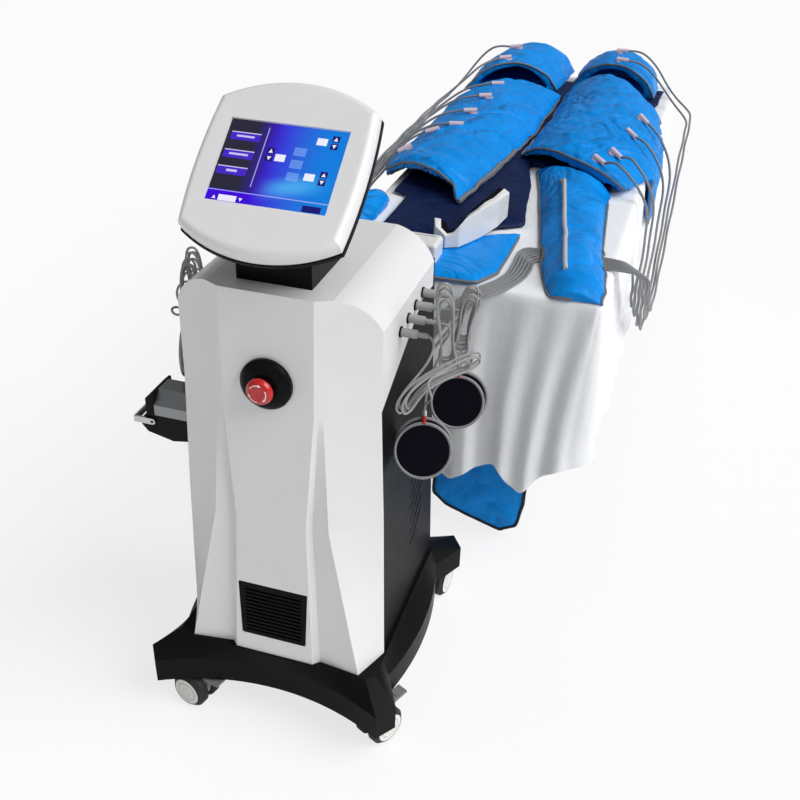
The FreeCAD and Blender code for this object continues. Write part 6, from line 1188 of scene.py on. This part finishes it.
@dataclass
class Sheet:
    """White sheet over the couch: flat on top, with folds that open towards the hem."""

    low: Tuple[float, float] = (-0.163, 0.458)
    high: Tuple[float, float] = (0.483, 2.346)
    top: float = 0.7026
    side_hem: float = 0.338
    near_hem: Tuple[Tuple[float, float], ...] = (
        (-0.62, 0.48), (-0.3, 0.4), (-0.05, 0.28), (0.02, 0.22), (0.124, 0.292), (0.234, 0.35), (0.3, 0.25),
        (0.356, 0.229), (0.54, 0.43), (0.62, 0.48))
    insets: Tuple[float, ...] = (0.3229, 0.26, 0.19, 0.12, 0.07, 0.035, 0.012, 0.0)
    edge_radius: float = 0.012
    rows: int = 26
    step: float = 0.0155
    turns: int = 8
    wall: float = 0.0016

    def perimeter(self, grow: float, round_off: float) -> List[Tuple[Vector, Vector, float]]:
        """Points round the couch's edge, each with its way outwards and its distance along the edge.

        Args:
            grow: how far outside the couch's edge.
            round_off: radius of the corners.

        Returns:
            The points in order, starting at the near left corner.
        """
        x0, y0 = self.low[0] - grow + round_off, self.low[1] - grow + round_off
        x1, y1 = self.high[0] + grow - round_off, self.high[1] + grow - round_off
        ends = [Vector((x, y, 0)) for x, y in ((x0, y0), (x1, y0), (x1, y1), (x0, y1))]
        found = []
        along = 0.0
        for index, angle in enumerate((-90.0, 0.0, 90.0, 180.0)):
            start, end = ends[index], ends[(index + 1) % 4]
            full = self.high[index % 2] - self.low[index % 2]
            count = max(2, round(full / self.step))
            out = Vector((math.cos(math.radians(angle)), math.sin(math.radians(angle)), 0))
            for share in (number / count for number in range(count)):
                found.append((start.lerp(end, share) + out * round_off, out, along + full * share))
            along += full
            for share in ((number + 0.5) / self.turns for number in range(self.turns)):
                turn = math.radians(angle + 90.0 * share)
                way = Vector((math.cos(turn), math.sin(turn), 0))
                found.append((end + way * round_off, way, along + 0.1 * share))
            along += 0.1
        return found

    def hem(self, place: Vector) -> float:
        """Height of the hem below a place on the edge."""
        near = max(0.0, min(1.0, (self.low[1] + 0.05 - place.y) / 0.06))
        share = (place.x - 0.16) / 0.646
        places = [item[0] for item in self.near_hem]
        heights = [item[1] * 0.7 for item in self.near_hem]
        return self.side_hem * (1 - near) + float(np.interp(share, places, heights)) * near

    def fold(self, along: float) -> float:
        """Depth of the folds at a distance along the edge, from minus one to one."""
        return (0.55 * math.sin(along * 71.0 + 1.7 * math.sin(along * 9.0))
                + 0.3 * math.sin(along * 37.0 + 0.6)
                + 0.25 * math.sin(along * 113.0 + 2.0 * math.sin(along * 17.0)))

    def rings(self) -> List[List[Vector]]:
        """Rings of points from the middle of the top out to the hem, all of one length."""
        rings: List[List[Vector]] = []
        for inset in self.insets:
            height = self.top + (0.0008 if inset > 0.01 else 0.0)
            flat = self.perimeter(-inset, max(0.0, self.edge_radius - inset))
            rings.append([Vector((place.x, place.y, height)) for place, _, _ in flat])
        edge = self.perimeter(0.0, self.edge_radius)
        for share in (row / self.rows for row in range(1, self.rows + 1)):
            ring = []
            wide = self.perimeter(0.004 + 0.022 * share ** 0.8, 0.016 + 0.07 * share)
            for (place, way, along), (start, _, _) in zip(wide, edge):
                drop = (self.top - self.hem(start)) * share
                depth = (0.001 + 0.0125 * share ** 0.75) * self.fold(along + 0.012 * math.sin(share * 3.0))
                bend = 0.004 * math.sin(share * 9.0 + along * 5.0) * share
                spot = place + way * (depth + bend)
                ring.append(Vector((spot.x, spot.y, self.top - drop)))
            rings.append(ring)
        return rings

    def build(self) -> Piece:
        """Models the sheet ring by ring and finishes it.

        Returns:
            The finished sheet.
        """
        rings = self.rings()
        around = len(rings[0])
        faces = []
        for row in range(0, (len(rings) - 1) * around, around):
            for number in range(around):
                after = (number + 1) % around
                faces.append((row + number, row + around + number, row + around + after, row + after))
        mesh = bpy.data.meshes.new("sheet")
        mesh.from_pydata([spot for ring in rings for spot in ring], [], faces)
        piece = merged(linked("couch_sheet_cloth", mesh), 1e-4)
        wall = piece.modifiers.new("thickness", "SOLIDIFY")
        wall.thickness = self.wall
        wall.offset = -1.0
        soft = piece.modifiers.new("smooth", "SUBSURF")
        soft.levels = soft.render_levels = 1
        apply_all(piece)
        stands_for(dress(piece, Tone.SHEET.value, 80.0), "couch_sheet", "sheet_white")
        log.info("couch sheet: %d faces", len(piece.data.polygons))
        return piece


@dataclass
class CouchPad:
    """The couch's own pad under the sheet."""

    def build(self) -> Piece:
        """Rounds the pad's edges.

        Returns:
            The finished pad.
        """
        low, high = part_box("couch_top")
        piece = added("couch_pad", bpy.ops.mesh.primitive_cube_add, size=1.0, location=(low + high) / 2)
        piece.scale = high - low
        settle(piece)
        bpy.ops.object.mode_set(mode="EDIT")
        bpy.ops.mesh.select_all(action="SELECT")
        bpy.ops.mesh.bevel(offset=0.016, segments=4)
        bpy.ops.mesh.subdivide(number_cuts=2)
        bpy.ops.object.mode_set(mode="OBJECT")
        stands_for(dress(merged(piece), Tone.PADDING.value, 50.0), "couch_top", "upholstery")
        return piece


@dataclass
class Hoses:
    """Air hoses from the suit's couplers to the console's outlets."""

    diameter: float = 0.007

    def build(self) -> None:
        """Lays each hose along its route."""
        for name, (length, points) in HOSES.items():
            route = metres(points)
            cord = spline("air_hose_" + name, route, self.diameter / 2, 2, 6)
            cord.data.materials.append(Tone.HOSE.value.material())
            stands_for(cord, "air_hoses_" + name.split("_")[0], "hose_grey")
        log.info("hoses: %d", len(HOSES))


@dataclass
class Leads:
    """Electrode leads in tied hanks, each with its round pad."""

    diameter: float = 0.0045
    pad_radius: float = 0.055
    pad_depth: float = 0.006
    pads: Tuple[Tuple[str, Point, Point, Point], ...] = (
        ("right_0", (238.0, -62.0, 606.0), (231.0, -37.9, 666.1), (0.263, -0.902, 0.342)),
        ("right_1", (235.6, -51.9, 610.9), (228.6, -27.8, 671.0), (0.263, -0.902, 0.342)),
        ("right_2", (254.0, 128.0, 604.0), (247.0, 152.1, 664.1), (0.263, -0.902, 0.342)),
        ("right_3", (258.6, 138.1, 609.9), (251.6, 162.2, 670.0), (0.263, -0.902, 0.342)),
        ("left_1", (-252.0, -30.0, 712.0), (-249.1, -29.2, 777.0), (-0.96, -0.28, 0.0)),
        ("left_2", (-243.4, -21.5, 718.0), (-240.5, -20.6, 783.0), (-0.96, -0.28, 0.0)),
    )
    red_snaps: Tuple[str, ...] = ("right_0", "right_2", "left_1")

    def face(self, name: str, centre: Vector, normal: Vector) -> Piece:
        """The pad's dished black plate."""
        plate = added("pad_face_" + name, bpy.ops.mesh.primitive_cylinder_add, vertices=64,
                      radius=self.pad_radius - 0.004, depth=self.pad_depth * 0.8,
                      location=centre - normal * self.pad_depth * 0.55,
                      rotation=normal.to_track_quat("Z", "Y").to_euler())
        bpy.ops.object.mode_set(mode="EDIT")
        bpy.ops.mesh.select_all(action="DESELECT")
        bpy.ops.mesh.select_mode(type="FACE")
        bpy.ops.object.mode_set(mode="OBJECT")
        for face in plate.data.polygons:
            face.select = abs(face.normal.z) > 0.9
        bpy.ops.object.mode_set(mode="EDIT")
        bpy.ops.mesh.inset(thickness=0.006, depth=-0.0008)
        bpy.ops.mesh.inset(thickness=0.012, depth=0.0004)
        bpy.ops.object.mode_set(mode="OBJECT")
        return dress(settle(plate), Tone.PAD.value)

    def rim(self, name: str, centre: Vector, normal: Vector) -> Piece:
        """The pale ring round the plate."""
        ring = added("pad_rim_" + name, bpy.ops.mesh.primitive_torus_add,
                     major_radius=self.pad_radius - 0.0035, minor_radius=0.0033, major_segments=72,
                     minor_segments=12, location=centre - normal * self.pad_depth * 0.5,
                     rotation=normal.to_track_quat("Z", "Y").to_euler())
        return dress(settle(ring), Tone.RIM.value, 60.0)

    def snap(self, name: str, end: Vector, up: Vector) -> Piece:
        """The small snap that the lead clips into, red on every second pad."""
        clip = added("pad_snap_" + name, bpy.ops.mesh.primitive_cylinder_add, vertices=24, radius=0.0042,
                     depth=0.016, location=end - up * 0.007, rotation=up.to_track_quat("Z", "Y").to_euler())
        bpy.ops.object.mode_set(mode="EDIT")
        bpy.ops.mesh.select_all(action="SELECT")
        bpy.ops.mesh.bevel(offset=0.001, segments=2)
        bpy.ops.object.mode_set(mode="OBJECT")
        return dress(settle(clip), Tone.SNAP.value if name in self.red_snaps else Tone.BOX.value)

    def pad(self, name: str, centre: Vector, end: Vector, normal: Vector) -> Piece:
        """A dished pad with a pale rim, and the snap that its lead clips into.

        Args:
            name: the lead's name.
            centre: middle of the pad's front face.
            end: point where the lead enters the snap.
            normal: the way the pad faces.

        Returns:
            The snap.
        """
        up = end - centre
        up = (up - normal * up.dot(normal)).normalized()
        pieces = (self.face(name, centre, normal), self.rim(name, centre, normal), self.snap(name, end, up))
        for piece in pieces:
            stands_for(piece, "electrode_pads", "pad_black")
        return pieces[-1]

    def build(self) -> None:
        """Lays the leads and hangs the pads."""
        for name, centre, end, facing in self.pads:
            length, points = LEADS[name]
            route = metres(points)
            cord = spline("electrode_lead_" + name, route, self.diameter / 2, 2, 6)
            cord.data.materials.append(Tone.LEAD.value.material())
            stands_for(cord, "ems_leads_" + name.split("_")[0], "lead_grey")
            clip = self.pad(name, Vector(centre) * MM, Vector(end) * MM, Vector(facing).normalized())
        log.info("leads: %d", len(self.pads))


@dataclass
class Console:
    """The trolley and the other rigid solids, which keep their shapes and get their finishes."""

    tones: Dict[str, Tone] = field(default_factory=lambda: {
        "base_chassis": Tone.BASE, "front_shell": Tone.SHELL, "rear_cover": Tone.COVER,
        "front_grille": Tone.GRILLE, "estop_plate": Tone.STOP, "estop_stem": Tone.STOP,
        "estop_block": Tone.STOP, "neck_bracket": Tone.NECK, "tilt_pin": Tone.STEEL,
        "screen_back": Tone.SCREEN, "screen_bezel": Tone.SHELL, "air_pump": Tone.WORKS,
        "valve_manifold": Tone.MANIFOLD, "power_supply": Tone.WORKS, "control_board": Tone.BOARD,
        "fan_frame": Tone.COVER, "fan_rotor": Tone.COVER, "power_inlet": Tone.COVER,
        "rocker_switch": Tone.RED, "jack_sockets": Tone.CONNECTOR, "connector_housing": Tone.CONNECTOR,
        "connector_hood": Tone.HOOD, "connector_lever": Tone.STEEL, "brake_pedal_front_left": Tone.PEDAL,
        "brake_pedal_front_right": Tone.PEDAL, "couch_frame": Tone.FRAME, "couch_feet": Tone.FOOT,
        "zip_pull": Tone.STEEL, "hose_couplers": Tone.COUPLER, "accessory_box": Tone.BOX,
        "ems_plugs": Tone.PLUG,
    })

    def paint(self, node: str, finish: Finish) -> None:
        """Gives one solid its finish."""
        solid = frame["nodes"][node]
        solid.data.materials.clear()
        solid.data.materials.append(finish.material())

    def build(self) -> None:
        """Dresses every solid that stays in view."""
        for node, tone in self.tones.items():
            self.paint(node, tone.value)
        stop = joint("stop_twist")
        self.paint("estop_cap", StopCap("stop cap red", (0.5, 0.008, 0.01), tuple(stop["pos_m"]),
                                        tuple(stop["axis"])))
        self.paint("touch_panel", Display("lit display", (0.05, 0.0, 0.5), (0.0, -0.13672, 1.13902)))
        for corner in ("front_left", "front_right", "rear_left", "rear_right"):
            roll = joint("roll_" + corner)
            tyre = Tyre("tyre " + corner.replace("_", " "), (0.014, 0.014, 0.015), tuple(roll["pos_m"]),
                        tuple(roll["axis"]))
            self.paint("caster_wheel_" + corner, tyre)
            self.paint("caster_fork_" + corner, Tone.CASTER.value)
        log.info("console dressed")


@dataclass
class HeadRim:
    """Thin black edge between the head's white front and its back."""

    out: Point = (0.0, -0.6307, 0.776)
    up: Point = (0.0, 0.776, 0.6307)
    radius: float = 0.0022

    def outline(self) -> List[Vector]:
        """Hull of the white front's back edge, in order.

        Returns:
            The points of the closed outline.
        """
        spots = corners(frame["nodes"]["screen_bezel"])
        out, up = np.array(self.out), np.array(self.up)
        depth = spots @ out
        rear = spots[depth < depth.min() + 0.003]
        level = float((rear @ out).mean())
        flat = sorted({(round(float(x), 4), round(float(y), 4)) for x, y in zip(rear[:, 0], rear @ up)})
        halves = []
        for row in (flat, flat[::-1]):
            chain: List[Tuple[float, float]] = []
            for point in row:
                while len(chain) > 1 and self.turn(chain[-2], chain[-1], point) <= 0:
                    chain.pop()
                chain.append(point)
            halves += chain[:-1]
        return [Vector((x, 0.0, 0.0)) + Vector(self.up) * y + Vector(self.out) * level for x, y in halves]

    @staticmethod
    def turn(a: Tuple[float, float], b: Tuple[float, float], c: Tuple[float, float]) -> float:
        """Twice the signed area between three points."""
        return (b[0] - a[0]) * (c[1] - a[1]) - (b[1] - a[1]) * (c[0] - a[0])

    def build(self) -> Piece:
        """Lays the edge round the head."""
        piece = tube("screen_rim", self.outline(), self.radius, Tone.SCREEN.value, 3, True)
        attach(piece, "screen_head")
        return piece


@dataclass
class Goggles:
    """Moulded shell and soft padding of the eye goggles."""

    voxel: float = 0.0018
    rounds: int = 10

    def shell(self) -> Piece:
        """Rounds the shell's edges like a moulding."""
        piece = evened(remeshed("goggle_shell_moulded", "goggle_shell", self.voxel), 0.5, self.rounds)
        return stands_for(dress(piece, Tone.GOGGLE.value, 60.0), "goggle_shell", "goggle_white")

    def build(self) -> Piece:
        """Rounds the shell and swells the padding."""
        self.shell()
        pad = SoftPiece("goggle_pad", 0.0045, 0.002, Tone.FOAM.value, "goggle_foam", 0.001, 0.0, 0.7, 0.001)
        return pad.build()


@dataclass
class Stage:
    """Floor, light and camera."""

    eye: Point = (0.63625, -1.60625, 1.69175)
    yaw: float = 16.09
    pitch: float = 31.51
    roll: float = 2.02
    focus: float = 1049.4
    frame_pixels: float = 800.0
    unshaded: float = 0.75
    sky: float = 0.26
    backdrop: float = 0.97
    suns: Tuple[Tuple[str, Point, float, float], ...] = (
        ("key", (-0.7, 0.05, -0.71), 2.8, 45.0), ("fill", (0.2, 0.7, -0.6), 0.1, 60.0))

    def pale(self) -> bpy.types.Material:
        """White paint that the camera sees almost without shadows."""
        graph = Graph("pale floor")
        graph.set(Base_Color=(0.95, 0.95, 0.95), Roughness=0.9, Specular_IOR_Level=0.05)
        seen = graph.node("ShaderNodeLightPath", {}, {}, "Is Camera Ray") * self.unshaded
        glow = graph.node("ShaderNodeEmission", {}, {})
        paint = Value(graph, graph.shader.outputs[0])
        out = next(node for node in graph.tree.nodes if node.type == "OUTPUT_MATERIAL")
        graph.feed(out.inputs["Surface"], graph.node("ShaderNodeMixShader", {}, {0: seen, 1: paint, 2: glow}))
        return graph.material

    def floor(self) -> None:
        """A wide pale floor."""
        plane = added("floor", bpy.ops.mesh.primitive_plane_add, size=80.0)
        plane.data.materials.append(self.pale())

    def lights(self) -> None:
        """Soft sun from the right, a weak one from the front and an even sky that the camera sees white."""
        world = bpy.data.worlds.new("studio")
        bpy.context.scene.world = world
        world.use_nodes = True
        nodes, links = world.node_tree.nodes, world.node_tree.links
        sky, seen, blend, path = (nodes["Background"], nodes.new("ShaderNodeBackground"),
                                  nodes.new("ShaderNodeMixShader"), nodes.new("ShaderNodeLightPath"))
        for back, strength in ((sky, self.sky), (seen, self.backdrop)):
            back.inputs["Color"].default_value = (1.0, 1.0, 1.0, 1.0)
            back.inputs["Strength"].default_value = strength
        links.new(path.outputs["Is Camera Ray"], blend.inputs[0])
        links.new(sky.outputs[0], blend.inputs[1])
        links.new(seen.outputs[0], blend.inputs[2])
        links.new(blend.outputs[0], nodes["World Output"].inputs["Surface"])
        for name, way, power, angle in self.suns:
            lamp = bpy.data.lights.new(name, "SUN")
            lamp.energy = power
            lamp.angle = math.radians(angle)
            light = linked(name, lamp)
            light.rotation_euler = Vector(way).to_track_quat("-Z", "Y").to_euler()

    def camera(self) -> None:
        """The camera at the photograph's place."""
        a, e, r = (math.radians(value) for value in (self.yaw, self.pitch, self.roll))
        back = Vector((math.sin(a) * math.cos(e), -math.cos(a) * math.cos(e), math.sin(e)))
        right = Vector((math.cos(a), math.sin(a), 0.0))
        up = back.cross(right)
        side = right * math.cos(r) + up * math.sin(r)
        top = up * math.cos(r) - right * math.sin(r)
        lens = bpy.data.cameras.new("camera")
        lens.sensor_width = 36.0
        lens.lens = self.focus * lens.sensor_width / self.frame_pixels
        lens.clip_end = 200.0
        eye = linked("camera", lens)
        turn = Matrix((side, top, back)).transposed()
        eye.matrix_world = Matrix.Translation(Vector(self.eye)) @ turn.to_4x4()
        bpy.context.scene.camera = eye

    def build(self) -> None:
        """Sets the stage."""
        bpy.context.scene.view_settings.view_transform = "Standard"
        self.floor()
        self.lights()
        self.camera()


def main() -> None:
    """Builds every sub-assembly in order."""
    logging.basicConfig(level=logging.INFO, format="%(message)s")
    Stage().build()
    Hoses().build()
    Leads().build()
    Console().build()
    HeadRim().build()
    CouchPad().build()
    Sheet().build()
    Suit().build()
    Goggles().build()


if __name__ == "__main__":
    main()
